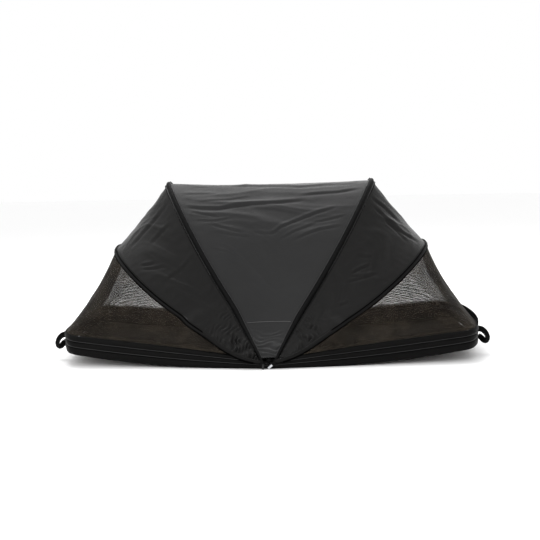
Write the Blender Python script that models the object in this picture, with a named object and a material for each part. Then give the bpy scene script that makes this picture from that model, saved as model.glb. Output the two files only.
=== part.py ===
"""A small folding tent for a baby: six U-shaped rods fan out from a pin on each side.

Metres, +Z up. +X runs along the length of the tent and -Y is the near side. The origin is on
the floor, below the line of the two hub pins. Two rods carry the base and four carry the
canopy, and the whole fan closes about the line of the pins.
"""

import math

import bmesh
import bpy
from mathutils import Vector

# Base plan
HALF_LENGTH = 0.600
HALF_WIDTH_HUB = 0.345
HALF_WIDTH_END = 0.278
CORNER_LENGTH = 0.075
CORNER_POWER = 3.6
FLOOR_RISE = 0.041
FLOOR_RISE_POWER = 1.85
LEVEL_REACH = 0.130
CREASE_HEIGHT = 0.008
CREASE_REACH = 0.080
FLOOR_THICKNESS = 0.003
HUB_SPLIT = 0.0010

# Band round the base
BAND_HUB_HEIGHT = 0.018
BAND_END_RISE = 0.075
BAND_RISE_POWER = 0.78
BAND_THICKNESS = 0.003

# Hub pins
PIN_HEIGHT = 0.020
PIN_RADIUS = 0.0030
EYE_RADIUS = 0.0075
EYE_HOLE_RADIUS = 0.0033
EYE_THICKNESS = 0.0090
EYE_PITCH = 0.0120
OUTER_EYE_Y = 0.3330
ROD_START = 0.0055

# Rods
ROD_RADIUS = 0.0050
ROD_SIDES = 8
BASE_ROD_RISE = 0.0585
BASE_ROD_INSET = 0.0094
BASE_ROD_FLARE = 0.170
OUTER_HOOP_ANGLE = math.radians(32.2)
OUTER_HOOP_BEND = math.radians(14.0)
OUTER_HOOP_REACH = 0.553
OUTER_HOOP_HALF_WIDTH = 0.300
OUTER_HOOP_POWER = 2.5
INNER_HOOP_ANGLE = math.radians(57.5)
INNER_HOOP_BEND = math.radians(5.0)
INNER_HOOP_REACH = 0.578
INNER_HOOP_HALF_WIDTH = 0.262
INNER_HOOP_POWER = 1.47
BEND_POWER = 1.2
LEG_LENGTH = 0.090
FLARE_LENGTH = 0.220

# Fabric
PANEL_THICKNESS = 0.0024
PANEL_START = 0.045
MESH_SAG = 0.018
SIDE_SAG = 0.014
DOOR_SAG = 0.012
ZIP_WIDTH = 0.0080
ZIP_THICKNESS = 0.0020

# Webbing
WEB_WIDTH = 0.020
WEB_THICKNESS = 0.0018
LOOP_REACH = 0.028
LOOP_HEIGHT = 0.022
LOOP_Y = -0.170
STRAP_Y = 0.060
STRAP_STAND_OFF = 0.016
PULL_WIDTH = 0.0050
PULL_HEIGHT = 0.0150
PULL_THICKNESS = 0.0025
PULL_X = 0.0120
PULL_LIFT = 0.0010

GAP = 0.0003
FABRIC_GAP = 0.0007
EASED_EDGE = 0.0006
SHARP_ANGLE = math.radians(40.0)
ROUND_SIDES = 20
OUTLINE_POINTS = 241
ROD_POINTS = 61
PANEL_POINTS = 41
BAND_POINTS = 105
MESH_EDGE = 0.0017
FLOOR_INSET = 0.0030
PIN_INNER_END = 0.002
PIN_OUTER_END = 0.001
LOOP_DROP = 0.030
CANOPY_MIDDLE = 0.15
SAG_SPAN = 0.15
BLACK = (0.020, 0.020, 0.021)
CHARCOAL = (0.045, 0.045, 0.047)
MESH_GREY = (0.060, 0.058, 0.055)
FLOOR_BROWN = (0.030, 0.025, 0.022)
STEEL = (0.55, 0.56, 0.58)


def clear_scene():
    """Start from an empty scene."""
    for item in list(bpy.data.objects):
        bpy.data.objects.remove(item, do_unlink=True)


def finish_material(name, colour, roughness, metallic=0.0):
    """A plain Principled material in the piece's own colour."""
    material = bpy.data.materials.new(name)
    material.use_nodes = True
    shader = material.node_tree.nodes["Principled BSDF"]
    shader.inputs["Base Color"].default_value = (*colour, 1.0)
    shader.inputs["Roughness"].default_value = roughness
    shader.inputs["Metallic"].default_value = metallic
    return material


def add_piece(name, mesh, parent, colour, roughness=0.85, metallic=0.0):
    """Put a mesh, drawn in world positions, under the hinge or base that carries it."""
    piece = bpy.data.objects.new(name, mesh)
    bpy.context.scene.collection.objects.link(piece)
    mesh.materials.clear()
    mesh.materials.append(finish_material(name, colour, roughness, metallic))
    mesh.transform(parent.matrix_world.inverted())
    piece.parent = parent
    return piece


def add_hinge(name):
    """An empty on the line of the hub pins, which one rod and its fabric turn about."""
    hinge = bpy.data.objects.new(name, None)
    bpy.context.scene.collection.objects.link(hinge)
    hinge.location = (0.0, 0.0, PIN_HEIGHT)
    bpy.context.view_layer.update()
    return hinge


def plan_half_width(reach):
    """Half the width of the base at a distance from the hub line, with its rounded end."""
    share = min(reach / HALF_LENGTH, 1.0)
    straight = HALF_WIDTH_HUB - (HALF_WIDTH_HUB - HALF_WIDTH_END) * share
    into_corner = max(0.0, (reach - HALF_LENGTH + CORNER_LENGTH) / CORNER_LENGTH)
    rounded = max(0.0, 1.0 - min(into_corner, 1.0) ** CORNER_POWER)
    return straight * rounded ** (1.0 / CORNER_POWER)


def floor_height(reach):
    """Underside of the floor: level in the middle, lifting a little towards the end."""
    share = max(0.0, reach - LEVEL_REACH) / (HALF_LENGTH - LEVEL_REACH)
    return FLOOR_RISE * share ** FLOOR_RISE_POWER


def band_top(reach):
    """Top edge of the band, lowest at the hub and highest at the end."""
    return BAND_HUB_HEIGHT + BAND_END_RISE * (reach / HALF_LENGTH) ** BAND_RISE_POWER


def base_rod_height(reach):
    """Centre of the base rod above the level the tent stands on."""
    return PIN_HEIGHT + BASE_ROD_RISE * reach / HALF_LENGTH


def resample(points, count):
    """The same line with evenly spaced points."""
    lengths = [0.0]
    for first, second in zip(points, points[1:]):
        lengths.append(lengths[-1] + (second - first).length)
    result = []
    index = 0
    for step in range(count):
        target = lengths[-1] * step / (count - 1)
        while index < len(points) - 2 and lengths[index + 1] < target:
            index += 1
        span = max(lengths[index + 1] - lengths[index], 1e-9)
        result.append(points[index].lerp(points[index + 1], (target - lengths[index]) / span))
    return result


def plan_line(side, start, inset, height, count):
    """Half of the base outline, from the near hub round one end to the far hub."""
    steps = 90
    near = []
    for step in range(steps + 1):
        angle = 0.5 * math.pi * step / steps
        reach = start + (HALF_LENGTH - start) * math.sin(angle)
        near.append(Vector((reach, -plan_half_width(reach), 0.0)))
    outline = near + [Vector((point.x, -point.y, 0.0)) for point in reversed(near[:-1])]
    even = resample(outline, OUTLINE_POINTS)
    line = []
    for index, point in enumerate(even):
        before = even[max(index - 1, 0)]
        after = even[min(index + 1, len(even) - 1)]
        along = (after - before).normalized()
        inward = Vector((-along.y, along.x, 0.0))
        line.append(point + inward * inset)
    line = resample(line, count)
    return [Vector((side * p.x, p.y, height(max(p.x, 0.0)))) for p in line]


def hoop_line(side, angle, bend, reach, half_width, power, eye_y, count):
    """A canopy rod from its near eye, up over the tent and down to its far eye."""
    half = []
    for step in range(25):
        radius = ROD_START + (LEG_LENGTH - ROD_START) * step / 24
        half.append((radius, half_width))
    for step in range(1, 61):
        turn = 0.5 * math.pi * step / 60
        radius = LEG_LENGTH + (reach - LEG_LENGTH) * math.sin(turn) ** (2.0 / power)
        half.append((radius, half_width * math.cos(turn) ** (2.0 / power)))
    near = []
    for radius, offset in half:
        share = min(radius / FLARE_LENGTH, 1.0)
        ease = share * share * (3.0 - 2.0 * share)
        width = offset + (eye_y - half_width) * (1.0 - ease)
        lift = angle - bend * max(0.0, 1.0 - radius / reach) ** BEND_POWER
        near.append(Vector((side * radius * math.cos(lift), -width, PIN_HEIGHT + radius * math.sin(lift))))
    far = [Vector((p.x, -p.y, p.z)) for p in reversed(near[:-1])]
    return resample(near + far, count)


def base_rod_line(side, eye_y, count):
    """The base rod from its near eye, inside the band, to its far eye."""
    inside = plan_line(side, ROD_START, BASE_ROD_INSET, base_rod_height, OUTLINE_POINTS)
    shift = eye_y - abs(inside[0].y)
    line = []
    for point in inside:
        share = min(abs(point.x) / BASE_ROD_FLARE, 1.0)
        ease = share * share * (3.0 - 2.0 * share)
        outward = math.copysign(1.0, point.y)
        line.append(point + Vector((0.0, outward * shift * (1.0 - ease), 0.0)))
    return resample(line, count)


def rod_mesh(name, line, eye_y):
    """A round rod with a flat eye for the hub pin at each end, as one body."""
    curve = bpy.data.curves.new(name + "_path", "CURVE")
    curve.dimensions = "3D"
    curve.bevel_depth = ROD_RADIUS
    curve.bevel_resolution = (ROD_SIDES - 4) // 2
    curve.use_fill_caps = True
    spline = curve.splines.new("POLY")
    spline.points.add(len(line) - 1)
    for point, place in zip(spline.points, line):
        point.co = (*place, 1.0)
    swept = bpy.data.objects.new(name + "_sweep", curve)
    bpy.context.scene.collection.objects.link(swept)
    bpy.context.view_layer.update()
    mesh = bpy.data.meshes.new_from_object(swept.evaluated_get(bpy.context.evaluated_depsgraph_get()))
    bpy.data.objects.remove(swept, do_unlink=True)
    body = bpy.data.objects.new(name + "_body", mesh)
    bpy.context.scene.collection.objects.link(body)
    eyes = []
    for end in (-1.0, 1.0):
        eye = bpy.data.objects.new(name + "_eye", eye_mesh(end * eye_y))
        bpy.context.scene.collection.objects.link(eye)
        eyes.append(eye)
        join = body.modifiers.new("eye", "BOOLEAN")
        join.operation = "UNION"
        join.solver = "EXACT"
        join.object = eye
    bpy.context.view_layer.update()
    joined = bpy.data.meshes.new_from_object(body.evaluated_get(bpy.context.evaluated_depsgraph_get()))
    joined.name = name
    for item in [body] + eyes:
        bpy.data.objects.remove(item, do_unlink=True)
    joined.shade_smooth()
    joined.set_sharp_from_angle(angle=SHARP_ANGLE)
    return joined


def eye_mesh(centre_y):
    """A flat ring about the pin line."""
    mesh = bpy.data.meshes.new("eye")
    shape = bmesh.new()
    rings = []
    for radius, offset in ((EYE_RADIUS, -0.5), (EYE_RADIUS, 0.5), (EYE_HOLE_RADIUS, 0.5), (EYE_HOLE_RADIUS, -0.5)):
        ring = []
        for side in range(ROUND_SIDES):
            angle = 2.0 * math.pi * side / ROUND_SIDES
            x = radius * math.cos(angle)
            z = PIN_HEIGHT + radius * math.sin(angle)
            ring.append(shape.verts.new((x, centre_y + offset * EYE_THICKNESS, z)))
        rings.append(ring)
    for first, second in zip(rings, rings[1:] + rings[:1]):
        for side in range(ROUND_SIDES):
            after = (side + 1) % ROUND_SIDES
            shape.faces.new((first[side], first[after], second[after], second[side]))
    bmesh.ops.recalc_face_normals(shape, faces=shape.faces)
    shape.to_mesh(mesh)
    shape.free()
    return mesh


def pin_mesh(near, far):
    """A plain hub pin with its ends chamfered."""
    mesh = bpy.data.meshes.new("pin")
    shape = bmesh.new()
    length = abs(far - near)
    bmesh.ops.create_cone(
        shape, cap_ends=True, segments=ROUND_SIDES, radius1=PIN_RADIUS, radius2=PIN_RADIUS, depth=length
    )
    ends = [edge for edge in shape.edges if abs(edge.verts[0].co.z - edge.verts[1].co.z) < 1e-6]
    bmesh.ops.bevel(shape, geom=ends, offset=EASED_EDGE, segments=1, affect="EDGES")
    for vertex in shape.verts:
        x, y, z = vertex.co
        vertex.co = (x, 0.5 * (near + far) + z, PIN_HEIGHT + y)
    bmesh.ops.recalc_face_normals(shape, faces=shape.faces)
    shape.to_mesh(mesh)
    shape.free()
    mesh.shade_smooth()
    mesh.set_sharp_from_angle(angle=SHARP_ANGLE)
    return mesh


def sheet_mesh(name, rows, thickness):
    """A sheet through rows of points, given its thickness as one closed body."""
    mesh = bpy.data.meshes.new(name)
    shape = bmesh.new()
    across = len(rows[0])
    bmesh.ops.create_grid(shape, x_segments=across - 1, y_segments=len(rows) - 1, size=0.5)
    ordered = sorted(shape.verts, key=lambda v: (round(v.co.y, 6), round(v.co.x, 6)))
    places = [place for row in rows for place in row]
    for vertex, place in zip(ordered, places):
        vertex.co = place
    shape.to_mesh(mesh)
    shape.free()
    holder = bpy.data.objects.new(name + "_sheet", mesh)
    bpy.context.scene.collection.objects.link(holder)
    thick = holder.modifiers.new("thickness", "SOLIDIFY")
    thick.thickness = thickness
    thick.offset = 0.0
    thick.use_even_offset = True
    bpy.context.view_layer.update()
    solid = bpy.data.meshes.new_from_object(holder.evaluated_get(bpy.context.evaluated_depsgraph_get()))
    bpy.data.objects.remove(holder, do_unlink=True)
    shape = bmesh.new()
    shape.from_mesh(solid)
    bmesh.ops.recalc_face_normals(shape, faces=shape.faces)
    shape.to_mesh(solid)
    shape.free()
    solid.name = name
    solid.shade_smooth()
    solid.set_sharp_from_angle(angle=SHARP_ANGLE)
    return solid


def crossing(line, index, direction):
    """How squarely a direction leaves a line at one of its points, from 0 to 1."""
    along = line[min(index + 1, len(line) - 1)] - line[max(index - 1, 0)]
    return max(direction.normalized().cross(along.normalized()).length, 0.2)


def ruled_rows(first, second, inset_first, inset_second, sag, cells_across):
    """Rows of points straight across between two lines, sagging towards the inside of the tent."""
    inside = Vector((0.0, 0.0, CANOPY_MIDDLE))
    rows = []
    for index, (start, end) in enumerate(zip(first, second)):
        across = end - start
        span = across.length
        low = inset_first / crossing(first, index, across) / span
        high = 1.0 - inset_second / crossing(second, index, across) / span
        row = []
        for cell in range(cells_across + 1):
            share = low + (high - low) * cell / cells_across
            place = start + across * share
            pull = sag * 4.0 * (share - low) * (high - share) * min(1.0, span / SAG_SPAN)
            row.append(place + (inside - place).normalized() * pull)
        rows.append(row)
    return rows


def strip_rows(first, second, near_edge, far_edge):
    """Rows for a narrow strip beside the first line, on the side of the second."""
    rows = []
    for index, (start, end) in enumerate(zip(first, second)):
        direction = (end - start).normalized()
        square = crossing(first, index, direction)
        rows.append([start + direction * near_edge / square, start + direction * far_edge / square])
    return rows


def middle_part(line, start_share, count):
    """The stretch of a line that is clear of the hubs."""
    even = resample(line, 401)
    first = int(round(400 * start_share))
    return resample(even[first:401 - first], count)


def band_mesh(name, side):
    """The wall of the base, standing on the edge of the floor."""
    inset = 0.5 * BAND_THICKNESS

    def foot(reach):
        return floor_height(reach) + FLOOR_THICKNESS + GAP

    low = plan_line(side, HUB_SPLIT, inset, foot, BAND_POINTS)
    high = plan_line(side, HUB_SPLIT, inset, band_top, BAND_POINTS)
    middle = [a.lerp(b, 0.5) for a, b in zip(low, high)]
    return sheet_mesh(name, [list(row) for row in zip(low, middle, high)], BAND_THICKNESS)


def floor_mesh(name, side):
    """The floor of one half, with the small rise to the fold under the hub line."""
    steps = 22
    cells = 8
    rows = []
    for step in range(steps + 1):
        angle = 0.5 * math.pi * step / steps
        reach = HUB_SPLIT + (HALF_LENGTH - FLOOR_INSET - HUB_SPLIT) * math.sin(angle)
        width = plan_half_width(reach)
        ramp = max(0.0, 1.0 - reach / CREASE_REACH)
        ease = ramp * ramp * (3.0 - 2.0 * ramp)
        row = []
        for cell in range(cells + 1):
            across = -1.0 + 2.0 * cell / cells
            inner = 1.0 - max(0.0, abs(across) - 0.75) / 0.25
            lift = CREASE_HEIGHT * ease * inner
            height = floor_height(reach) + lift + 0.5 * FLOOR_THICKNESS
            row.append(Vector((side * reach, width * across, height)))
        rows.append(row)
    return sheet_mesh(name, rows, FLOOR_THICKNESS)


def end_face(offset):
    """Outermost point of the base outline at a distance from the middle line."""
    reach = HALF_LENGTH
    while plan_half_width(reach) < offset:
        reach -= 0.0001
    return reach


def loop_mesh(name, side, y, top, height, reach):
    """A folded loop of webbing sewn to the end of the band."""
    start = end_face(abs(y) - 0.5 * WEB_WIDTH) + GAP
    straight = 0.3 * reach
    line = [(0.0, top)]
    for step in range(13):
        angle = math.pi * step / 12
        out = straight + (reach - straight) * math.sin(angle)
        line.append((out, top - 0.5 * height + 0.5 * height * math.cos(angle)))
    line.append((0.0, top - height))
    rows = []
    for out, z in line:
        x = side * (start + out)
        rows.append([Vector((x, y - 0.5 * WEB_WIDTH, z)), Vector((x, y + 0.5 * WEB_WIDTH, z))])
    return sheet_mesh(name, rows, WEB_THICKNESS)


def strap_mesh(name, rows):
    """A webbing handle from the band up to the end mesh, standing off between its two ends."""
    column = min(range(len(rows)), key=lambda index: abs(rows[index][0].y - STRAP_Y))
    foot = rows[column][0]
    head = rows[column][len(rows[column]) // 2]
    outward = Vector((foot.z - head.z, 0.0, 0.0)).normalized() * -1.0
    clear = 0.9 * (PANEL_THICKNESS + WEB_THICKNESS)
    line = []
    for step in range(13):
        share = step / 12
        rise = clear + STRAP_STAND_OFF * math.sin(math.pi * share)
        line.append(foot.lerp(head, share) + outward * rise)
    strip = [[p - Vector((0.0, 0.5 * WEB_WIDTH, 0.0)), p + Vector((0.0, 0.5 * WEB_WIDTH, 0.0))] for p in line]
    return sheet_mesh(name, strip, WEB_THICKNESS)


def pull_mesh(name, x, face_y, outward):
    """A small zip pull lying flat against the band, its corners eased."""
    mesh = bpy.data.meshes.new(name)
    shape = bmesh.new()
    bmesh.ops.create_cube(shape, size=1.0)
    middle_y = face_y + outward * (GAP + 0.5 * PULL_THICKNESS)
    for vertex in shape.verts:
        vertex.co.x = x + vertex.co.x * PULL_WIDTH
        vertex.co.y = middle_y + vertex.co.y * PULL_THICKNESS
        vertex.co.z = PULL_LIFT + (vertex.co.z + 0.5) * PULL_HEIGHT
    bmesh.ops.bevel(shape, geom=shape.edges[:], offset=EASED_EDGE, segments=2, affect="EDGES", profile=0.5)
    bmesh.ops.recalc_face_normals(shape, faces=shape.faces)
    shape.to_mesh(mesh)
    shape.free()
    mesh.shade_smooth()
    mesh.set_sharp_from_angle(angle=SHARP_ANGLE)
    return mesh


def build():
    """Make the whole tent at its open rest pose."""
    clear_scene()
    names = ("base_right", "hoop_outer_right", "hoop_inner_right", "hoop_inner_left", "hoop_outer_left", "base_left")
    hinge = {name: add_hinge(name + "_hinge") for name in names}
    outside_in = (names[0], names[5], names[1], names[4], names[2], names[3])
    eye = {name: OUTER_EYE_Y - EYE_PITCH * place for place, name in enumerate(outside_in)}

    outer = (OUTER_HOOP_ANGLE, OUTER_HOOP_BEND, OUTER_HOOP_REACH, OUTER_HOOP_HALF_WIDTH, OUTER_HOOP_POWER)
    inner = (INNER_HOOP_ANGLE, INNER_HOOP_BEND, INNER_HOOP_REACH, INNER_HOOP_HALF_WIDTH, INNER_HOOP_POWER)
    rods = {}
    for side, word in ((-1.0, "left"), (1.0, "right")):
        rods["hoop_outer_" + word] = hoop_line(side, *outer, eye["hoop_outer_" + word], ROD_POINTS)
        rods["hoop_inner_" + word] = hoop_line(side, *inner, eye["hoop_inner_" + word], ROD_POINTS)
        rods["base_" + word] = base_rod_line(side, eye["base_" + word], ROD_POINTS)
    for body, line in rods.items():
        name = body.replace("base_", "base_rod_")
        add_piece(name, rod_mesh(name, line, eye[body]), hinge[body], BLACK, 0.6)

    pin_start = eye["hoop_inner_left"] - 0.5 * EYE_THICKNESS - PIN_INNER_END
    pin_end = eye["base_right"] + 0.5 * EYE_THICKNESS + PIN_OUTER_END
    add_piece("hub_pin_near", pin_mesh(-pin_start, -pin_end), hinge["base_right"], STEEL, 0.3, 1.0)
    add_piece("hub_pin_far", pin_mesh(pin_start, pin_end), hinge["base_right"], STEEL, 0.3, 1.0)

    rod_edge = ROD_RADIUS + FABRIC_GAP
    zip_edge = rod_edge + ZIP_WIDTH
    for side, word in ((-1.0, "left"), (1.0, "right")):
        base = hinge["base_" + word]
        add_piece("floor_" + word, floor_mesh("floor_" + word, side), base, FLOOR_BROWN)
        add_piece("band_" + word, band_mesh("band_" + word, side), base, BLACK)

        edge = plan_line(side, HUB_SPLIT, 0.5 * BAND_THICKNESS, lambda r: band_top(r) + GAP, OUTLINE_POINTS)
        low = middle_part(edge, PANEL_START, PANEL_POINTS)
        high = middle_part(rods["hoop_outer_" + word], PANEL_START, PANEL_POINTS)
        rows = ruled_rows(low, high, MESH_EDGE, rod_edge, MESH_SAG, 6)
        add_piece("mesh_end_" + word, sheet_mesh("mesh_end_" + word, rows, PANEL_THICKNESS), base, MESH_GREY)
        if word == "right":
            add_piece("end_strap_right", strap_mesh("end_strap_right", rows), base, BLACK)
        for place, outward in (("near", -1.0), ("far", 1.0)):
            name = "zip_pull_" + place + "_" + word
            face = outward * plan_half_width(PULL_X - 0.5 * PULL_WIDTH)
            add_piece(name, pull_mesh(name, side * PULL_X, face, outward), base, BLACK, 0.4)

        low = high
        high = middle_part(rods["hoop_inner_" + word], PANEL_START, PANEL_POINTS)
        rows = ruled_rows(low, high, rod_edge, zip_edge + FABRIC_GAP, SIDE_SAG, 5)
        name = "side_panel_" + word
        add_piece(name, sheet_mesh(name, rows, PANEL_THICKNESS), hinge["hoop_outer_" + word], BLACK)

        rows = strip_rows(high, low, rod_edge, zip_edge)
        add_piece("zip_" + word, sheet_mesh("zip_" + word, rows, ZIP_THICKNESS), hinge["hoop_inner_" + word], BLACK)

        name = "end_loop_" + word
        mesh = loop_mesh(name, side, LOOP_Y, band_top(HALF_LENGTH) - LOOP_DROP, LOOP_HEIGHT, LOOP_REACH)
        add_piece(name, mesh, base, BLACK)

    low = middle_part(rods["hoop_inner_left"], PANEL_START, PANEL_POINTS)
    high = middle_part(rods["hoop_inner_right"], PANEL_START, PANEL_POINTS)
    rows = ruled_rows(low, high, rod_edge, rod_edge, DOOR_SAG, 8)
    add_piece("door_panel", sheet_mesh("door_panel", rows, PANEL_THICKNESS), hinge["hoop_inner_left"], CHARCOAL)


build()
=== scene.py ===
# %% [markdown]
# # A folding tent for a baby
#
# This lesson dresses a small fan-shaped tent. Six U-shaped rods turn on one pin at each side,
# and cloth is stretched between them. The exact solids of the tent are loaded as a fixed frame.
# Each step then lays cloth, seams, zips or webbing over that frame, or gives a solid its finish.

# %% Load the frame
import math

import bpy
import numpy as np
from mathutils import Matrix, Vector, noise


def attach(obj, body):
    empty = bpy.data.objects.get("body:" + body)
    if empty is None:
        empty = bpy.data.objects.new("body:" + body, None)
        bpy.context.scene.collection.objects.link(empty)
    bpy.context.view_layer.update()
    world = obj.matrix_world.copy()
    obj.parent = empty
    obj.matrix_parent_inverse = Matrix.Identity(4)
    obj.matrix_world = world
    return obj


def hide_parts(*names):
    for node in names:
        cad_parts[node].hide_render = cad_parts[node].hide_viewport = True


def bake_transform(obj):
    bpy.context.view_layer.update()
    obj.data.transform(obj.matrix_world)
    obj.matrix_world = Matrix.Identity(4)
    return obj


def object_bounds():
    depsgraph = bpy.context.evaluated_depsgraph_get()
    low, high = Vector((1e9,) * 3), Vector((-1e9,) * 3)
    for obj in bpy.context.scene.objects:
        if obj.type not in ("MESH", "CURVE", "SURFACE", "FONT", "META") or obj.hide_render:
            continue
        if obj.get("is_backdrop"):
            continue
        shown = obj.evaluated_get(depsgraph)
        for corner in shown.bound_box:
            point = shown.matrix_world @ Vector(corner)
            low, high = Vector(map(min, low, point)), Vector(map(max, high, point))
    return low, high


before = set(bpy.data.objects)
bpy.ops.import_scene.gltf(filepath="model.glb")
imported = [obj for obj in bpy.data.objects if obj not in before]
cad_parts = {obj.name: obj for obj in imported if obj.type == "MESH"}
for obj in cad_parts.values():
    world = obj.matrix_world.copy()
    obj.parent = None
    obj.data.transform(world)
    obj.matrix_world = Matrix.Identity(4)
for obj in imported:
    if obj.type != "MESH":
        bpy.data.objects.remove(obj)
cad_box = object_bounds()

# %% [markdown]
# ## The camera
#
# The tent was photographed from a little above its ridge, about three metres away, with a
# short telephoto lens. A camera can be aimed by a target or placed by numbers. Numbers are
# used here, because they come from fitting the rods' lines to the photograph, with its tiny
# roll.

# %% Camera
CAMERA_PLACE = Vector((0.0932, -2.9065, 0.5470))
CAMERA_TURN = math.radians(1.923)
CAMERA_DOWN = math.radians(6.108)
CAMERA_ROLL = math.radians(1.113)
CAMERA_LENS = 63.25
SENSOR_WIDTH = 36.0

lens = bpy.data.cameras.new("camera")
lens.lens, lens.sensor_width = CAMERA_LENS, SENSOR_WIDTH
camera = bpy.data.objects.new("camera", lens)
bpy.context.scene.collection.objects.link(camera)
aim = Matrix.Rotation(CAMERA_TURN, 4, "Z") @ Matrix.Rotation(0.5 * math.pi - CAMERA_DOWN, 4, "X")
unrolled = Matrix.Translation(CAMERA_PLACE) @ aim
camera.matrix_world = unrolled @ Matrix.Rotation(-CAMERA_ROLL, 4, "Z")
bpy.context.scene.camera = camera
print("camera height", round(CAMERA_PLACE.z, 3), "m, lens", CAMERA_LENS, "mm")

# %% [markdown]
# ## Floor and light
#
# Black cloth shows its shape only by what it reflects. A big soft light above the ridge
# brightens the top of the canopy, a weaker one beside the camera opens the folds, and a pale
# world fills in the rest. The floor is one large pale plane, and it isn't part of the tent.

# %% Light
LIGHTS = (  # name, place, what it is turned to, width and height, watts
    ("top_light", (-0.3, 0.9, 2.7), (0.0, 0.0, 0.3), (2.6, 1.8), 72.0),
    ("camera_light", (-1.4, -3.2, 1.7), (0.0, 0.0, 0.2), (1.8, 1.8), 44.0),
    ("back_light", (0.6, 2.6, 1.8), (0.0, 0.0, 0.3), (2.4, 1.2), 20.0),
)
for name, place, target, size, watts in LIGHTS:
    data = bpy.data.lights.new(name, "AREA")
    data.shape, data.energy = "RECTANGLE", watts
    data.size, data.size_y = size
    light = bpy.data.objects.new(name, data)
    bpy.context.scene.collection.objects.link(light)
    light.location = place
    light.rotation_euler = (Vector(target) - Vector(place)).to_track_quat("-Z", "Y").to_euler()

world = bpy.data.worlds.new("studio")
world.use_nodes = True
sky = world.node_tree.nodes["Background"]
sky.inputs["Color"].default_value = (1.0, 1.0, 1.0, 1.0)
sky.inputs["Strength"].default_value = 1.0
bpy.context.scene.world = world
bpy.context.scene.view_settings.view_transform = "Standard"
print("lights:", len(LIGHTS))

# %% Studio floor
FLOOR_SIZE = 30.0
FLOOR_DROP = 0.0005


def new_material(name):
    """A material with nodes, its tree and its shader."""
    material = bpy.data.materials.new(name)
    material.use_nodes = True
    return material, material.node_tree, material.node_tree.nodes["Principled BSDF"]


bpy.ops.object.select_all(action="DESELECT")
bpy.ops.mesh.primitive_plane_add(size=FLOOR_SIZE, location=(0.0, 0.0, -FLOOR_DROP))
studio_floor = bpy.context.object
studio_floor.name = "studio_floor"
paint, _, shader = new_material("studio_floor")
shader.inputs["Base Color"].default_value = (0.97, 0.97, 0.97, 1.0)
shader.inputs["Roughness"].default_value = 0.9
studio_floor.data.materials.append(paint)
studio_floor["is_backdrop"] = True
print("studio floor", FLOOR_SIZE, "m wide")

# %% [markdown]
# ## The lines that carry the cloth
#
# Every cloth piece hangs from a rod or from the edge of the base, so the lines of the rods are
# made first. They could be picked from the solids' vertices, but a formula gives them as
# finely as any piece needs. These are the same curves that shape the solids: the base outline
# with its rounded ends, and hoops whose legs bend a little on their way up from the pin.

# %% Base outline
HALF_LENGTH = 0.600
HALF_WIDTH_HUB = 0.345
HALF_WIDTH_END = 0.278
CORNER_LENGTH = 0.075
CORNER_POWER = 3.6
FLOOR_RISE = 0.041
FLOOR_RISE_POWER = 1.85
LEVEL_REACH = 0.130
BAND_HUB_HEIGHT = 0.018
BAND_END_RISE = 0.075
BAND_RISE_POWER = 0.78
PIN_HEIGHT = 0.020
BASE_ROD_RISE = 0.0585
BASE_ROD_INSET = 0.0094
BASE_ROD_FLARE = 0.170


def plan_half_width(reach):
    """Half the width of the base at a distance from the hub line."""
    share = min(reach / HALF_LENGTH, 1.0)
    straight = HALF_WIDTH_HUB - (HALF_WIDTH_HUB - HALF_WIDTH_END) * share
    into_corner = max(0.0, (reach - HALF_LENGTH + CORNER_LENGTH) / CORNER_LENGTH)
    rounded = max(0.0, 1.0 - min(into_corner, 1.0) ** CORNER_POWER)
    return straight * rounded ** (1.0 / CORNER_POWER)


def floor_height(reach):
    """Underside of the floor: level in the middle, lifting towards the end."""
    share = max(0.0, reach - LEVEL_REACH) / (HALF_LENGTH - LEVEL_REACH)
    return FLOOR_RISE * share ** FLOOR_RISE_POWER


def band_top(reach):
    """Top edge of the band round the base."""
    return BAND_HUB_HEIGHT + BAND_END_RISE * (reach / HALF_LENGTH) ** BAND_RISE_POWER


def base_rod_height(reach):
    """Centre of the base rod."""
    return PIN_HEIGHT + BASE_ROD_RISE * reach / HALF_LENGTH


print("band height at the end", round(band_top(HALF_LENGTH) - floor_height(HALF_LENGTH), 4), "m")

# %% [markdown]
# A line made from a formula has its points crowded in some places. Cloth wants even spacing,
# so that its weave and its wrinkles keep one scale, and each line is resampled by length.

# %% Even lines
def resample(points, count):
    """The same line with evenly spaced points."""
    lengths = [0.0]
    for first, second in zip(points, points[1:]):
        lengths.append(lengths[-1] + (second - first).length)
    result = []
    index = 0
    for step in range(count):
        target = lengths[-1] * step / (count - 1)
        while index < len(points) - 2 and lengths[index + 1] < target:
            index += 1
        span = max(lengths[index + 1] - lengths[index], 1e-9)
        result.append(points[index].lerp(points[index + 1], (target - lengths[index]) / span))
    return result


def as_array(points):
    """Points as one array, a row each."""
    return np.array([p[:] for p in points])


def mirrored(points):
    """The same points on the far side of the tent, in reverse order."""
    return [Vector((p.x, -p.y, p.z)) for p in reversed(points)]


print("line helpers ready")

# %% Half of the base outline
OUTLINE_STEPS = 160
EVEN_STEPS = 400
FINE_STEPS = 1200
EDGE_START = 0.001
EDGE_INSET = 0.0015


def plan_line(side, start, inset, height, count):
    """Half of the base outline, from the near hub round one end to the far hub."""
    near = []
    for step in range(OUTLINE_STEPS + 1):
        reach = start + (HALF_LENGTH - start) * math.sin(0.5 * math.pi * step / OUTLINE_STEPS)
        near.append(Vector((reach, -plan_half_width(reach), 0.0)))
    even = resample(near + mirrored(near[:-1]), EVEN_STEPS + 1)
    line = []
    for index, point in enumerate(even):
        along = (even[min(index + 1, EVEN_STEPS)] - even[max(index - 1, 0)]).normalized()
        line.append(point + Vector((-along.y, along.x, 0.0)) * inset)
    return [Vector((side * p.x, p.y, height(max(p.x, 0.0)))) for p in resample(line, count)]


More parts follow.
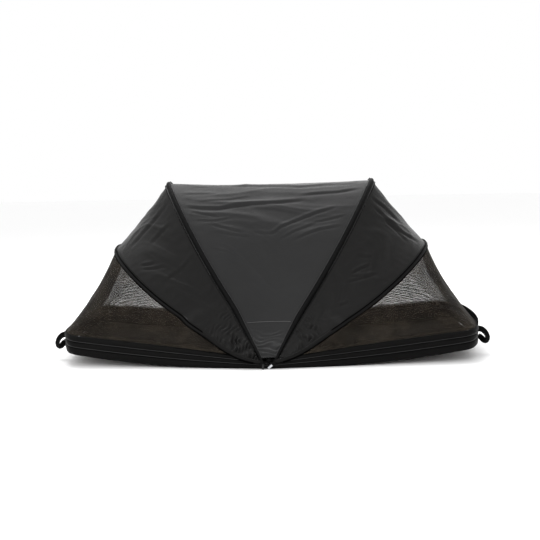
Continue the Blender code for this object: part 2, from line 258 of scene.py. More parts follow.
def middle_part(line, start_share, count, crowd=0.0):
    """A line without its two ends, with even points or with more of them near the ends."""
    even = as_array(resample(line, FINE_STEPS + 1))
    share = np.linspace(0.0, 1.0, count)
    share -= crowd * np.sin(2.0 * math.pi * share) / (2.0 * math.pi)
    spots = FINE_STEPS * (start_share + (1.0 - 2.0 * start_share) * share)
    columns = [np.interp(spots, np.arange(FINE_STEPS + 1), even[:, axis]) for axis in range(3)]
    return [Vector(p) for p in np.stack(columns, axis=1)]


edge = plan_line(1.0, EDGE_START, EDGE_INSET, band_top, count=241)
length = sum((b - a).length for a, b in zip(edge, edge[1:]))
print("length of the band's edge", round(length, 3), "m")

# %% Hoops
ROD_START = 0.0055
LEG_LENGTH = 0.090
FLARE_LENGTH = 0.220
BEND_POWER = 1.2
LEG_STEPS = 24
ARC_STEPS = 90
ROD_POINTS = 601
HOOPS = {  # angle at the top, bend of the legs, reach, half width, roundness
    "outer": (math.radians(32.2), math.radians(14.0), 0.553, 0.300, 2.5),
    "inner": (math.radians(57.5), math.radians(5.0), 0.578, 0.262, 1.47),
}
EYE_Y = {
    "base_right": 0.333, "base_left": 0.321, "hoop_outer_right": 0.309,
    "hoop_outer_left": 0.297, "hoop_inner_right": 0.285, "hoop_inner_left": 0.273,
}
SIDES = (("left", -1.0), ("right", 1.0))


def eased(share):
    """A share from 0 to 1 that starts and ends gently."""
    return share * share * (3.0 - 2.0 * share)


def hoop_line(kind, word, side, count):
    """The middle of a canopy rod, from its near eye over the tent to its far eye."""
    angle, bend, reach, half_width, power = HOOPS[kind]
    leg = LEG_LENGTH - ROD_START
    half = [(ROD_START + leg * step / LEG_STEPS, half_width) for step in range(LEG_STEPS + 1)]
    for step in range(1, ARC_STEPS + 1):
        turn = 0.5 * math.pi * step / ARC_STEPS
        radius = LEG_LENGTH + (reach - LEG_LENGTH) * math.sin(turn) ** (2.0 / power)
        half.append((radius, half_width * max(math.cos(turn), 0.0) ** (2.0 / power)))
    near = []
    for radius, offset in half:
        ease = eased(min(radius / FLARE_LENGTH, 1.0))
        width = offset + (EYE_Y["hoop_" + kind + "_" + word] - half_width) * (1.0 - ease)
        lift = angle - bend * max(0.0, 1.0 - radius / reach) ** BEND_POWER
        out, up = radius * math.cos(lift), radius * math.sin(lift)
        near.append(Vector((side * out, -width, PIN_HEIGHT + up)))
    return resample(near + mirrored(near[:-1]), count)


HOOP_SIDES = [(kind, word, side) for kind in HOOPS for word, side in SIDES]
rods = {}
for kind, word, side in HOOP_SIDES:
    rods[kind + "_" + word] = line = hoop_line(kind, word, side, ROD_POINTS)
    print(kind, word, "highest", round(max(point.z for point in line), 3), "m")

# %% [markdown]
# Near the pins the cloth is wider than the rods. It leaves them, comes out over the top of the
# band and is gathered on the outside, where the sleeves end. So the cloth follows lines of its
# own there. They could be taken from the rods with an offset, but each differs from the others,
# so they are given as a few points each, out from the hub, and are then smoothed.

# %% Cloth lines
TENTHS = 10000.0  # tenths of a millimetre in a metre
HUB_PATHS = {  # out from the hub, half the width there, height, in tenths of a millimetre
    "outer_left": (
        (220, 3535, 205), (523, 3505, 248), (799, 3450, 329), (1077, 3365, 458), (1358, 3270, 620),
        (1638, 3180, 815), (1920, 3100, 999), (2284, 3030, 1235)),
    "outer_right": (
        (163, 3515, 205), (327, 3490, 240), (574, 3440, 306), (850, 3360, 419), (1128, 3265, 567),
        (1407, 3190, 745), (1687, 3130, 926), (2023, 3070, 1135)),
    "inner_left": (
        (194, 3540, 181), (234, 3495, 298), (305, 3390, 431), (419, 3230, 611), (534, 3045, 791),
        (678, 2860, 1030), (821, 2710, 1275), (955, 2590, 1520), (1090, 2485, 1727)),
    "inner_right": (
        (162, 3510, 198), (218, 3460, 312), (273, 3360, 431), (355, 3230, 559), (438, 3080, 698),
        (607, 2875, 971), (808, 2715, 1310), (946, 2600, 1512), (1083, 2495, 1715)),
}
SMOOTH_PASSES = 30
ROD_GAP = 0.012


def cloth_line(key, side):
    """A hoop's line as the cloth follows it: off the rod near both hubs, on it elsewhere."""
    path = [[tenths / TENTHS for tenths in point] for point in HUB_PATHS[key]]
    near = [Vector((side * x, -y, z)) for x, y, z in path]
    kept = [point for point in rods[key] if abs(point.x) > path[-1][0] + ROD_GAP]
    line = as_array(resample(near + kept + mirrored(near), ROD_POINTS))
    for _ in range(SMOOTH_PASSES):
        line[1:-1] = 0.25 * line[:-2] + 0.5 * line[1:-1] + 0.25 * line[2:]
    return [Vector(p) for p in line]


hung = {}
for kind, word, side in HOOP_SIDES:
    hung[kind + "_" + word] = cloth_line(kind + "_" + word, side)
print("cloth lines:", len(hung))

# %% [markdown]
# ## Finishes
#
# The whole tent is black, so its finishes differ by weave and gloss more than by colour. One
# node group draws the plain weave of every cloth here. It reads an attribute called "lie",
# which each cloth piece carries: metres from one edge, metres along, metres from the other
# edge. A pattern on the object's own coordinates would cut through the cloth like a saw
# through timber, while this one follows the threads round every bend.

# %% Node helpers
ROW_LENGTH = 8


def fill(tree, node, inputs):
    """Gives a node's inputs plain values, or links them to the sockets of other nodes."""
    for key, value in inputs.items():
        if isinstance(value, bpy.types.NodeSocket):
            tree.links.new(value, node.inputs[key])
        else:
            node.inputs[key].default_value = value


def add_node(tree, kind, inputs=None, **settings):
    """A node of one kind with its settings and inputs. New nodes stand in rows of eight."""
    row, column = divmod(len(tree.nodes), ROW_LENGTH)
    node = tree.nodes.new(kind)
    node.location = (220 * column, -300 * row)
    for key, value in settings.items():
        setattr(node, key, value)
    fill(tree, node, inputs or {})
    return node


def math_node(tree, operation, first, second=0.5):
    """A Math node, and its output."""
    return add_node(tree, "ShaderNodeMath", {0: first, 1: second}, operation=operation).outputs[0]


def map_range(tree, value, start=(0.0, 1.0), end=(0.0, 1.0)):
    """A Map Range node from one range to another, and its output."""
    inputs = {"Value": value, "From Min": start[0], "From Max": start[1]}
    inputs.update({"To Min": end[0], "To Max": end[1]})
    return add_node(tree, "ShaderNodeMapRange", inputs).outputs[0]


def noise_node(tree, vector, scale, detail):
    """A Noise Texture node, and its output."""
    inputs = {"Vector": vector, "Scale": scale, "Detail": detail}
    return add_node(tree, "ShaderNodeTexNoise", inputs).outputs["Fac"]


def object_noise(tree, scale, detail):
    """Noise on the object's own coordinates."""
    where = add_node(tree, "ShaderNodeTexCoord")
    return noise_node(tree, where.outputs["Object"], scale, detail)


print("node helpers ready")

# %% Colour helpers
def rgb(colour):
    """A colour with its alpha, from three numbers, or from one for a grey."""
    return (colour, colour, colour, 1.0) if isinstance(colour, float) else (*colour, 1.0)


def colour_mix(tree, share, first, second, blend="MIX"):
    """A Mix node for colours, and its output."""
    inputs = {0: share, 6: first, 7: second}
    node = add_node(tree, "ShaderNodeMix", inputs, data_type="RGBA", blend_type=blend)
    return node.outputs[2]


def give_relief(tree, shader, height, strength, distance):
    """A Bump node between a height and the shader's Normal."""
    inputs = {"Height": height, "Strength": strength, "Distance": distance}
    relief = add_node(tree, "ShaderNodeBump", inputs)
    fill(tree, shader, {"Normal": relief.outputs[0]})


def lie_axes(tree):
    """The attribute "lie", and its three numbers."""
    lie = add_node(tree, "ShaderNodeAttribute", attribute_name="lie").outputs["Vector"]
    return lie, add_node(tree, "ShaderNodeSeparateXYZ", {0: lie}).outputs


def new_group(name, inputs, outputs):
    """An empty shader node group whose inputs and outputs are numbers."""
    tree = bpy.data.node_groups.new(name, "ShaderNodeTree")
    for label, value in inputs.items():
        socket = tree.interface.new_socket(label, in_out="INPUT", socket_type="NodeSocketFloat")
        socket.default_value = value
    for label in outputs:
        tree.interface.new_socket(label, in_out="OUTPUT", socket_type="NodeSocketFloat")
    entry = add_node(tree, "NodeGroupInput")
    return tree, entry.outputs, add_node(tree, "NodeGroupOutput")


print("colour helpers ready")

# %% [markdown]
# Real threads are a quarter of a millimetre wide. They could be drawn at that size alone, but a
# picture of the whole tent wouldn't show them, only a close view does. So the group also adds
# what is seen from afar: slightly uneven dye, and the faint slubs that run with the threads.

# %% Plain weave
CLOUD_SCALE = 16.0
SLUB_STRETCH = (60.0, 900.0, 60.0)
WEAVE_VALUES = {"Thread": 0.0006, "Uneven": 0.25}
weave, entry, leave = new_group("plain_weave", WEAVE_VALUES, ("Height", "Shade"))
lie, axes = lie_axes(weave)
turns = math_node(weave, "DIVIDE", math.pi, entry["Thread"])
threads = []
for axis in ("X", "Y"):
    phase = math_node(weave, "MULTIPLY", axes[axis], turns)
    threads.append(math_node(weave, "SINE", phase))
cross = math_node(weave, "MULTIPLY", *threads)
height = math_node(weave, "MULTIPLY_ADD", cross, 0.5)
cloudy = object_noise(weave, CLOUD_SCALE, 5.0)
stretch = add_node(weave, "ShaderNodeMapping", {"Vector": lie, "Scale": SLUB_STRETCH})
slubs = noise_node(weave, stretch.outputs[0], 1.0, 2.0)
both = math_node(weave, "ADD", cloudy, slubs)
centred = math_node(weave, "SUBTRACT", both, 1.0)
scaled = math_node(weave, "MULTIPLY", centred, entry["Uneven"])
shade = math_node(weave, "ADD", scaled, 1.0)
fill(weave, leave, {"Height": height, "Shade": shade})
print("weave nodes:", len(weave.nodes))

# %% [markdown]
# Lines of machine stitching run beside every seam. They could be modelled as thread, stitch by
# stitch, but there are thousands of them. The stitch group marks short dashes along a line at a
# given distance from the cloth's edge, and gives them a height, so that they catch light.

# %% Stitching
DASH_SHARE = 0.68
STITCH_VALUES = {"From Edge": 0.004, "Width": 0.0007, "Pitch": 0.0035}
stitches, entry, leave = new_group("stitch_row", STITCH_VALUES, ("Mask",))
_, axes = lie_axes(stitches)
nearer = math_node(stitches, "MINIMUM", axes["X"], axes["Z"])
apart = math_node(stitches, "SUBTRACT", nearer, entry["From Edge"])
away = math_node(stitches, "ABSOLUTE", apart)
on_line = math_node(stitches, "LESS_THAN", away, entry["Width"])
steps = math_node(stitches, "DIVIDE", axes["Y"], entry["Pitch"])
spot = math_node(stitches, "FRACT", steps)
on_dash = math_node(stitches, "LESS_THAN", spot, DASH_SHARE)
fill(stitches, leave, {"Mask": math_node(stitches, "MULTIPLY", on_line, on_dash)})
print("stitch nodes:", len(stitches.nodes))

# %% Cloth materials
STITCH_HEIGHT = 2.0
CLOTH_RELIEF = 0.0003


def cloth_material(name, colour, roughness, specular, threads, stitch_edge=None, yarn=None):
    """Woven cloth with uneven dye, and a row of stitches beside its edges if asked."""
    thread, uneven, bump = threads
    material, tree, shader = new_material(name)
    values = {"Thread": thread, "Uneven": uneven}
    cloth = add_node(tree, "ShaderNodeGroup", values, node_tree=weave)
    height, shade = cloth.outputs["Height"], cloth.outputs["Shade"]
    final = colour_mix(tree, 1.0, rgb(colour), shade, "MULTIPLY")
    if stitch_edge is not None:
        values = {"From Edge": stitch_edge}
        row = add_node(tree, "ShaderNodeGroup", values, node_tree=stitches)
        mask = row.outputs["Mask"]
        final = colour_mix(tree, mask, final, rgb(yarn))
        raised = math_node(tree, "MULTIPLY", mask, STITCH_HEIGHT)
        height = math_node(tree, "ADD", height, raised)
    gloss = math_node(tree, "MULTIPLY", shade, roughness)
    fill(tree, shader, {"Base Color": final, "Roughness": gloss, "Specular IOR Level": specular})
    give_relief(tree, shader, height, bump, CLOTH_RELIEF)
    return material


print("stitches stand", STITCH_HEIGHT, "times as high as the weave")

# %% Cloths of the tent
# each: colour, roughness, specular level, then (thread, unevenness, bump), and last how far the
# stitches are from the edge, and their colour
FINE = (0.0006, 0.22, 0.35)
PLAIN = (0.0008, 0.25, 0.5)
centre_cloth = cloth_material(
    "centre_cloth", (0.0135, 0.0135, 0.0137), 0.46, 0.145, FINE, 0.010, 0.014)
side_cloth = cloth_material("side_cloth", (0.0080, 0.0078, 0.0076), 0.48, 0.080, FINE, 0.010, 0.006)
sleeve_cloth = cloth_material("sleeve_cloth", 0.0030, 0.55, 0.060, PLAIN, 0.0035, 0.004)
hem_cloth = cloth_material("hem_cloth", (0.0064, 0.0062, 0.0060), 0.6, 0.065, PLAIN, 0.0035, 0.004)
# near-black cloth: the black piping on the net's side of the outer sleeves, and beads of painted
# shadow beside sleeves and pipings
edge_cloth = cloth_material("edge_cloth", 0.0006, 0.65, 0.008, PLAIN, 0.0035, 0.002)
band_cloth = cloth_material(
    "band_cloth", (0.0034, 0.0033, 0.0032), 0.55, 0.045, (0.0008, 0.3, 0.5), 0.004, 0.005)
floor_cloth = cloth_material(
    "floor_cloth", (0.030, 0.0245, 0.0185), 0.6, 0.08, (0.0010, 0.3, 0.6), 0.008,
    (0.03, 0.026, 0.022))
piping_cloth = cloth_material("piping_cloth", 0.024, 0.45, 0.18, (0.0008, 0.3, 0.4))
seam_thread = cloth_material("seam_thread", 0.070, 0.6, 0.25, (0.0008, 0.2, 0.3))
tape_cloth = cloth_material("tape_cloth", 0.0012, 0.7, 0.04, (0.0007, 0.2, 0.6), 0.0012, 0.01)
webbing_cloth = cloth_material(
    "webbing_cloth", 0.0010, 0.6, 0.03, (0.0014, 0.3, 1.0), 0.0030, 0.015)

SHEEN, SHEEN_ROUGHNESS = 0.25, 0.26
for coated in (centre_cloth, side_cloth):
    shader = coated.node_tree.nodes["Principled BSDF"]
    shader.inputs["Sheen Weight"].default_value = SHEEN
    shader.inputs["Sheen Roughness"].default_value = SHEEN_ROUGHNESS
print("cloth finishes:", len([m for m in bpy.data.materials if m.name.endswith("_cloth")]))

# %% [markdown]
# The windows at both ends are a fine knitted net. It could be modelled thread by thread, but a
# net of this size has tens of thousands of holes, so the holes are drawn by the material's
# alpha. Half of each square stays open, which lets half of the light from behind come through
# each layer.

# %% Net material
NET_PITCH = 0.0024
NET_EDGE = 0.03
NET_SOFTNESS = 0.6
THREAD_ALPHA, HOLE_ALPHA, CLOSED_ALPHA = 0.94, 0.12, 0.97
NET_DARK, NET_LIGHT = 0.7, 1.6
PATCH_EDGES = (0.34, 0.66)


def net_material(name, colour):
    """Knitted net: round holes in rows, drawn by alpha on the cloth's own coordinates."""
    material, tree, shader = new_material(name)
    _, axes = lie_axes(tree)
    waves = []
    for axis in ("X", "Y"):
        phase = math_node(tree, "MULTIPLY", axes[axis], 2.0 * math.pi / NET_PITCH)
        waves.append(math_node(tree, "COSINE", phase))
    total = math_node(tree, "ADD", *waves)
    edges = (NET_EDGE - NET_SOFTNESS, NET_EDGE + NET_SOFTNESS)
    hole = map_range(tree, total, edges, (THREAD_ALPHA, HOLE_ALPHA))
    closed = add_node(tree, "ShaderNodeAttribute", attribute_name="closed")
    inputs = {0: closed.outputs["Fac"], 2: hole, 3: CLOSED_ALPHA}
    drawn = add_node(tree, "ShaderNodeMix", inputs)
    cloud = object_noise(tree, CLOUD_SCALE, 4.0)
    patch = map_range(tree, cloud, PATCH_EDGES)
    dark, light = ([tone * value for value in colour] for tone in (NET_DARK, NET_LIGHT))
    tint = colour_mix(tree, patch, rgb(dark), rgb(light))
    fill(tree, shader, {"Base Color": tint, "Alpha": drawn.outputs[0]})
    fill(tree, shader, {"Roughness": 0.7, "Specular IOR Level": 0.10})
    return material


net_cloth = net_material("net_cloth", (0.0145, 0.0115, 0.0082))
print("net pitch", NET_PITCH * 1000, "mm")

# %% [markdown]
# The rods are glass fibre, and the pins and zip parts are metal or moulded plastic. One plain
# gloss would look like a toy's. So they read noise on the object's own coordinates: it makes
# the gloss a little uneven and gives the surface a very fine grain.

# %% Hard materials
GRAIN_DETAIL = 6.0
GRAIN_RELIEF = 0.0002
GLOSS_RANGE, TONE_RANGE = (0.7, 1.3), (0.75, 1.25)


def hard_material(name, colour, roughness, metallic, grain_scale, grain_depth):
    """Plastic or metal with a fine uneven gloss."""
    material, tree, shader = new_material(name)
    grain = object_noise(tree, grain_scale, GRAIN_DETAIL)
    gloss = map_range(tree, grain, end=[share * roughness for share in GLOSS_RANGE])
    dark, light = ([tone * value for value in colour] for tone in TONE_RANGE)
    tone = colour_mix(tree, grain, rgb(dark), rgb(light))
    fill(tree, shader, {"Base Color": tone, "Roughness": gloss, "Metallic": metallic})
    give_relief(tree, shader, grain, grain_depth, GRAIN_RELIEF)
    return material


rod_finish = hard_material(
    "rod_finish", (0.014, 0.014, 0.015), roughness=0.45, metallic=0.0, grain_scale=300.0,
    grain_depth=0.3)
steel_finish = hard_material(
    "steel_finish", (0.50, 0.51, 0.53), roughness=0.32, metallic=1.0, grain_scale=500.0,
    grain_depth=0.2)
zip_metal = hard_material(
    "zip_metal", (0.012, 0.012, 0.012), roughness=0.36, metallic=0.6, grain_scale=700.0,
    grain_depth=0.2)
for name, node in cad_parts.items():
    finish = steel_finish if name.startswith("hub_pin") else rod_finish
    for slot in node.material_slots:
        slot.material = finish
print("solids finished:", len(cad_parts))

# %% [markdown]
# ## Laying cloth
#
# A sheet of cloth starts as a flat grid, whose vertices are then laid on rows of points in
# space. It could be cut and sewn by simulation, but a canopy is held along all its edges, and
# laying it on given rows keeps those edges on the rods. The sheet gets its thickness last, from a
# Solidify modifier, so that it is a closed body like real cloth.

# %% Finish a piece
CLOTH_THICKNESS = 0.0008
NET_THICKNESS = 0.0006
INSIDE = np.array([0.0, 0.0, 0.15])


def finish_piece(piece, material):
    """One material and smooth shading."""
    piece.data.materials.clear()
    piece.data.materials.append(material)
    bpy.ops.object.select_all(action="DESELECT")
    piece.select_set(True)
    bpy.context.view_layer.objects.active = piece
    bpy.ops.object.shade_smooth()
    return piece


def tell(piece):
    """Prints how many faces a piece has."""
    print(piece.name, len(piece.data.polygons), "faces")


def write_attribute(mesh, name, kind, values):
    """A value for every vertex."""
    attribute = mesh.attributes.new(name, kind, "POINT")
    field = "vector" if kind == "FLOAT_VECTOR" else "value"
    values = np.ascontiguousarray(values, dtype=np.float32)
    attribute.data.foreach_set(field, values.reshape(-1))


print("cloth is", CLOTH_THICKNESS * 1000, "mm thick, net", NET_THICKNESS * 1000, "mm")

# %% Grids
def steps_between(places, axis):
    """Distance from each place to the next."""
    return np.linalg.norm(np.diff(places, axis=axis), axis=-1)


def running(steps):
    """Distance from the start, at the start and after each step."""
    return np.concatenate([[0.0], np.cumsum(steps)])


def grid_object(name, places):
    """The grid primitive with its vertices laid on an array of places, along by across."""
    along, across = places.shape[:2]
    bpy.ops.object.select_all(action="DESELECT")
    bpy.ops.mesh.primitive_grid_add(x_subdivisions=across - 1, y_subdivisions=along - 1, size=1.0)
    piece = bpy.context.object
    piece.name = name
    assert len(piece.data.vertices) == along * across
    piece.data.vertices.foreach_set("co", places.reshape(-1))
    first = np.zeros((along, across))
    first[:, 1:] = np.cumsum(steps_between(places, 1), axis=1)
    run = running(steps_between(places, 0).mean(axis=1))[:, None] * np.ones((1, across))
    lie = np.stack([first, run, first[:, -1:] - first], axis=2)
    write_attribute(piece.data, "lie", "FLOAT_VECTOR", lie)
    return piece


print("grid helper ready")

# %% Lay a sheet
def grid_normals(places):
    """The grid's own normals, not yet of unit length."""
    return np.cross(np.gradient(places, axis=1), np.gradient(places, axis=0))


def lay_sheet(name, places, material, slot, thickness=CLOTH_THICKNESS, **values):
    """A sheet of cloth laid on an array of places, its outer face outwards, with attributes."""
    if float((grid_normals(places) * (places - INSIDE)).sum()) <= 0.0:
        places = places[:, ::-1]
        values = {key: value[:, ::-1] for key, value in values.items()}
    piece = grid_object(name, places)
    for key, value in values.items():
        write_attribute(piece.data, key, "FLOAT", value)
    solid = piece.modifiers.new("thickness", "SOLIDIFY")
    solid.thickness = thickness
    solid.offset = 0.0
    bpy.ops.object.modifier_apply(modifier="thickness")
    return finish_piece(piece, material)


print("sheet helpers ready")

# %% [markdown]
# A panel between two hoops is ruled: each row runs straight from one rod to the other, then
# sags a little towards the inside. Sag is largest in the middle of a row and nothing at the
# rods. A finished shape could be sculpted, but rows that follow the rods fold with them.

# %% Stretch a panel between two lines
LEAST_SQUARE = 0.2
MOST_EDGE = 0.45
FULL_SAG_SPAN = 0.15


def unit(vectors):
    """The same directions, one long."""
    return vectors / np.linalg.norm(vectors, axis=-1, keepdims=True)


def stretched(first, second, edge_first, edge_second, sag, across):
    """Places of a panel between two lines, along by across, and each one's share of the way."""
    one, two = as_array(first), as_array(second)
    chord = two - one
    span = np.linalg.norm(chord, axis=1, keepdims=True)
    margins = []
    for line, edge in ((one, edge_first), (two, edge_second)):
        turned = np.cross(chord / span, unit(np.gradient(line, axis=0)))
        square = np.maximum(np.linalg.norm(turned, axis=1, keepdims=True), LEAST_SQUARE)
        margins.append(np.minimum(edge / square / span, MOST_EDGE))
    low, high = margins[0], 1.0 - margins[1]
    share = low + (high - low) * np.linspace(0.0, 1.0, across)[None, :]
    places = one[:, None] + chord[:, None] * share[..., None]
    depth = sag * 4.0 * (share - low) * (high - share) * np.minimum(1.0, span / FULL_SAG_SPAN)
    return places + unit(INSIDE - places) * depth[..., None], (share - low) / (high - low)


def surface_normals(places):
    """Unit normals of a grid of places, pointing away from the inside of the tent."""
    normals = grid_normals(places)
    normals /= np.maximum(np.linalg.norm(normals, axis=2, keepdims=True), 1e-12)
    return normals * np.sign((normals * (places - INSIDE)).sum(axis=2, keepdims=True))


def pressed(places, turn, depth, fade):
    """Places moved along their normals by a depth, which fades to nothing at both edges."""
    edge_fade = np.minimum(1.0, np.minimum(turn, 1.0 - turn) * fade)
    return places + surface_normals(places) * (depth * edge_fade)[..., None]


print("panel helpers ready")

# %% [markdown]
# ## Wrinkles
#
# Wrinkles in held cloth aren't random. Short puckers stand square to each seam, where the
# stitching has gathered the cloth. Long soft folds run from rod to rod where the cloth has
# slack. Sharp creases fan out from the tops of the hoops, which pull on it. A cloth simulation
# could make the first two, but it wouldn't put a crease where this tent has it. So each kind is
# a displacement along the cloth's normal, and together they give black cloth its highlights.

# %% Noise folds
PUCKERS, FOLDS, SHORT_FOLDS = 62.0, 11.0, 27.0  # in a metre
PUCKER_REACH, PUCKER_START = 0.022, 0.005
FULL_FOLD_SPAN, FULL_CRUMPLE_SPAN = 0.20, 0.02


def noise_field(points):
    """Smooth noise at an array of points, one value each."""
    flat = points.reshape(-1, 3)
    return np.array([noise.noise(Vector(p)) for p in flat]).reshape(points.shape[:-1])


def noise_at(first, second, seed):
    """Smooth noise at two coordinates, on a layer of its own."""
    return noise_field(np.stack([first, second, np.full_like(first, seed)], axis=-1))


def ridged(values, sharpness):
    """Turns smooth noise into narrow raised folds between broad hollows."""
    return np.power(np.clip(1.0 - np.abs(values) * 2.0, 0.0, 1.0), sharpness)


def wrinkles(places, turn, seed, pucker, slack, crumple):
    """How far each place moves along its normal: puckers at the edges, slack folds, crumple."""
    span = steps_between(places, 1).sum(axis=1)[:, None]
    run = running(steps_between(places, 0).mean(axis=1))[:, None] * np.ones_like(turn)
    from_first, from_second = turn * span, (1.0 - turn) * span
    moved = np.zeros_like(turn)
    for index, distance in enumerate((from_first, from_second)):
        fade = np.exp(-distance / PUCKER_REACH) * np.minimum(1.0, distance / PUCKER_START)
        waves = noise_at(run * PUCKERS, distance * 9.0, seed + 7.3 * index)
        moved += pucker * fade * waves * 2.0
    middle = np.sin(np.pi * np.clip(turn, 0.0, 1.0)) ** 0.8 * np.minimum(1.0, span / FULL_FOLD_SPAN)
    drift = noise_at(run * 3.0, turn * 2.0, seed + 31.0)
    long_fold = noise_at(run * FOLDS + drift * 1.6, turn * 0.9, seed + 50.0)
    moved += slack * middle * (ridged(long_fold, 2.0) - 0.35)
    short_fold = noise_at(run * SHORT_FOLDS + drift * 3.0, turn * 2.6, seed + 61.0)
    moved += 0.35 * slack * middle * (ridged(short_fold, 2.5) - 0.25)
    fine = noise_field(places * 34.0 + seed) + 0.5 * noise_field(places * 75.0 - seed)
    inner = np.minimum(1.0, np.minimum(from_first, from_second) / FULL_CRUMPLE_SPAN)
    return moved + crumple * fine * inner


print("wrinkle helpers ready")

# %% Creases drawn one by one
MILLIMETRES = 1000.0
CREASE_WIDTH = 0.74


def creases(places, marks, near_side=True):
    """Creases on one side of the tent: a depth, a width (tenths) and x, z points (mm) each."""
    moved = np.zeros(places.shape[:2])
    x, z = places[..., 0], places[..., 2]
    on_side = places[..., 1] < 0.0 if near_side else places[..., 1] > 0.0
    for depth, full_width, *points in marks:
        depth, width = depth / TENTHS, CREASE_WIDTH * (full_width / TENTHS)
        line = [(x0 / MILLIMETRES, z0 / MILLIMETRES) for x0, z0 in points]
        nearest, signed, run = np.full(x.shape, 9.0), np.zeros(x.shape), np.zeros(x.shape)
        passed = 0.0
        for (x0, z0), (x1, z1) in zip(line, line[1:]):
            dx, dz = x1 - x0, z1 - z0
            length = math.hypot(dx, dz)
            along = np.clip(((x - x0) * dx + (z - z0) * dz) / length, 0.0, length)
            off = np.hypot(x - x0 - along * dx / length, z - z0 - along * dz / length)
            side = np.sign((z - z0) * dx - (x - x0) * dz)
            closer = off < nearest
            nearest, signed = np.where(closer, off, nearest), np.where(closer, off * side, signed)
            run = np.where(closer, passed + along, run)
            passed += length
        ends = np.clip(np.minimum(run, passed - run) / (0.35 * passed) + 0.25, 0.0, 1.0)
        ridge = 0.7 * np.exp(-(((signed - 1.8 * width) / (1.2 * width)) ** 2))
        valley = -np.exp(-((nearest / width) ** 2)) + ridge
        moved += on_side * depth * ends * ends * (3.0 - 2.0 * ends) * valley
    return moved


def far_marks(marks):
    """Every second mark, turned round for the far side of the tent."""
    turned = []
    for depth, width, *points in marks[::2]:
        turned.append((depth, width, *[(-x, z) for x, z in reversed(points)]))
    return turned


print("crease helpers ready")

# %% Gathers at the hubs
def gathers(places, seed, reach, pitch, depth, level):
    """Short pleats near the hub, one above another: level ones, or ones that run round the pin."""
    away = np.hypot(places[..., 0], places[..., 2] - PIN_HEIGHT)
    drift = noise_field(places * np.array([26.0, 10.0, 40.0]) + seed)
    phase = (places[..., 2] if level else away) / pitch + 1.3 * drift
    patches = noise_field(places * np.array([34.0, 20.0, 60.0]) - seed)
    strength = np.clip(0.42 + 1.6 * patches, 0.0, 1.0)
    fade = np.clip((reach - away) / (0.55 * reach), 0.0, 1.0)
    return depth * fade * strength * np.sin(2.0 * math.pi * phase)


SLIM_FROM, SLIM_RISE, SLIM_LEAST, SLIM_GAIN = 0.030, 0.100, 0.55, 0.45


def slim(line):
    """How much narrower than above the sleeves and zips are near the hub, one value a point."""
    height = as_array(line)[:, 2:]
    return SLIM_LEAST + SLIM_GAIN * np.clip((height - SLIM_FROM) / SLIM_RISE, 0.0, 1.0)


print("gather helpers ready")

# %% [markdown]
# ## The fan's shares of turn
#
# When the tent closes, each hoop turns about the pins, and a panel between two hoops turns
# with them like a page between two others. The bend that the frame offers goes straight from
# one point to another, which suits a seat but not a fan. Each panel carries its share of the
# way across in an attribute called "turn": nothing at the first rod, all of it at the second.
# Here the piece's transform is baked, and that attribute is read and then removed.

# %% Fan blend
def fan_blend(piece):
    """Bakes the piece's transform, reads its shares of the way across, and removes them."""
    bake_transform(piece)
    shares = np.empty(len(piece.data.vertices), dtype=np.float32)
    piece.data.attributes["turn"].data.foreach_get("value", shares)
    piece.data.attributes.remove(piece.data.attributes["turn"])
    piece.data.update()


print("fan blend ready")

# %% [markdown]
# ## The centre panel
#
# The largest panel hangs between the two inner hoops and is the door, held by a zip along each
# side. Near the ridge its slack gathers into one long fold, with sharper creases fanning out
# below the right hoop, and at the bottom point it is gathered into small level pleats. Slack
# and puckers come from noise, which could make every fold. But the folds that make this tent
# look like itself are drawn one by one, as marks.

# %% Centre panel
PANEL_START, CENTRE_START = 0.006, 0.010
ROD_EDGE = 0.0055
SLACK_FROM, SLACK_RISE = 0.20, 0.22
CENTRE_MARKS = (  # depth and width in tenths of a millimetre, then x, z in millimetres
    (34, 53, (-262, 437), (-195, 431), (-146, 430), (-102, 437), (-53, 442), (36, 444),
     (110, 451)),
    (20, 41, (90, 463), (138, 467), (207, 471), (276, 481)),
    (16, 34, (-235, 424), (-194, 416), (-155, 409)),
    (26, 45, (5, 354), (37, 375), (67, 387), (112, 404), (150, 416), (200, 428)),
    (17, 39, (-45, 362), (-2, 357), (30, 362)),
    (22, 41, (70, 338), (111, 355), (149, 367), (210, 376)),
    (18, 38, (-170, 386), (-129, 375), (-75, 361)),
    (15, 36, (-155, 365), (-100, 355), (-50, 349)),
    (16, 31, (-155, 317), (-120, 309)),
    (17, 33, (-128, 326), (-97, 307), (-74, 290)),
    (16, 36, (130, 387), (162, 392), (222, 404)),
    (12, 34, (-262, 474), (-158, 472)),
    (17, 36, (-230, 493), (-99, 494), (3, 491), (93, 487), (165, 492), (262, 494)),
    (15, 39, (30, 340), (75, 362), (140, 385)),
    (12, 34, (-205, 452), (-120, 455), (-60, 462)),
    (13, 34, (-215, 398), (-165, 395), (-110, 402)),
)
low = middle_part(hung["inner_left"], CENTRE_START, count=381, crowd=0.3)
high = middle_part(hung["inner_right"], CENTRE_START, count=381, crowd=0.3)
edges = (ROD_EDGE * slim(low), ROD_EDGE * slim(high))
places, centre_turn = stretched(low, high, *edges, sag=0.009, across=121)
upper = np.clip((places[..., 2] - SLACK_FROM) / SLACK_RISE, 0.0, 1.0) ** 1.5
depth = wrinkles(places, centre_turn, seed=3.0, pucker=0.0011, slack=0.0034, crumple=0.00030)
depth *= 0.15 + 0.85 * upper
depth += gathers(places, seed=5.0, reach=0.100, pitch=0.0100, depth=0.0018, level=True)
depth += creases(places, CENTRE_MARKS)
depth += creases(places, far_marks(CENTRE_MARKS), near_side=False)
centre_places = pressed(places, centre_turn, depth, fade=14.0)
canopy_centre = lay_sheet(
    "canopy_centre", centre_places, centre_cloth, "centre_fabric", turn=centre_turn)
fan_blend(canopy_centre)
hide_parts("door_panel")

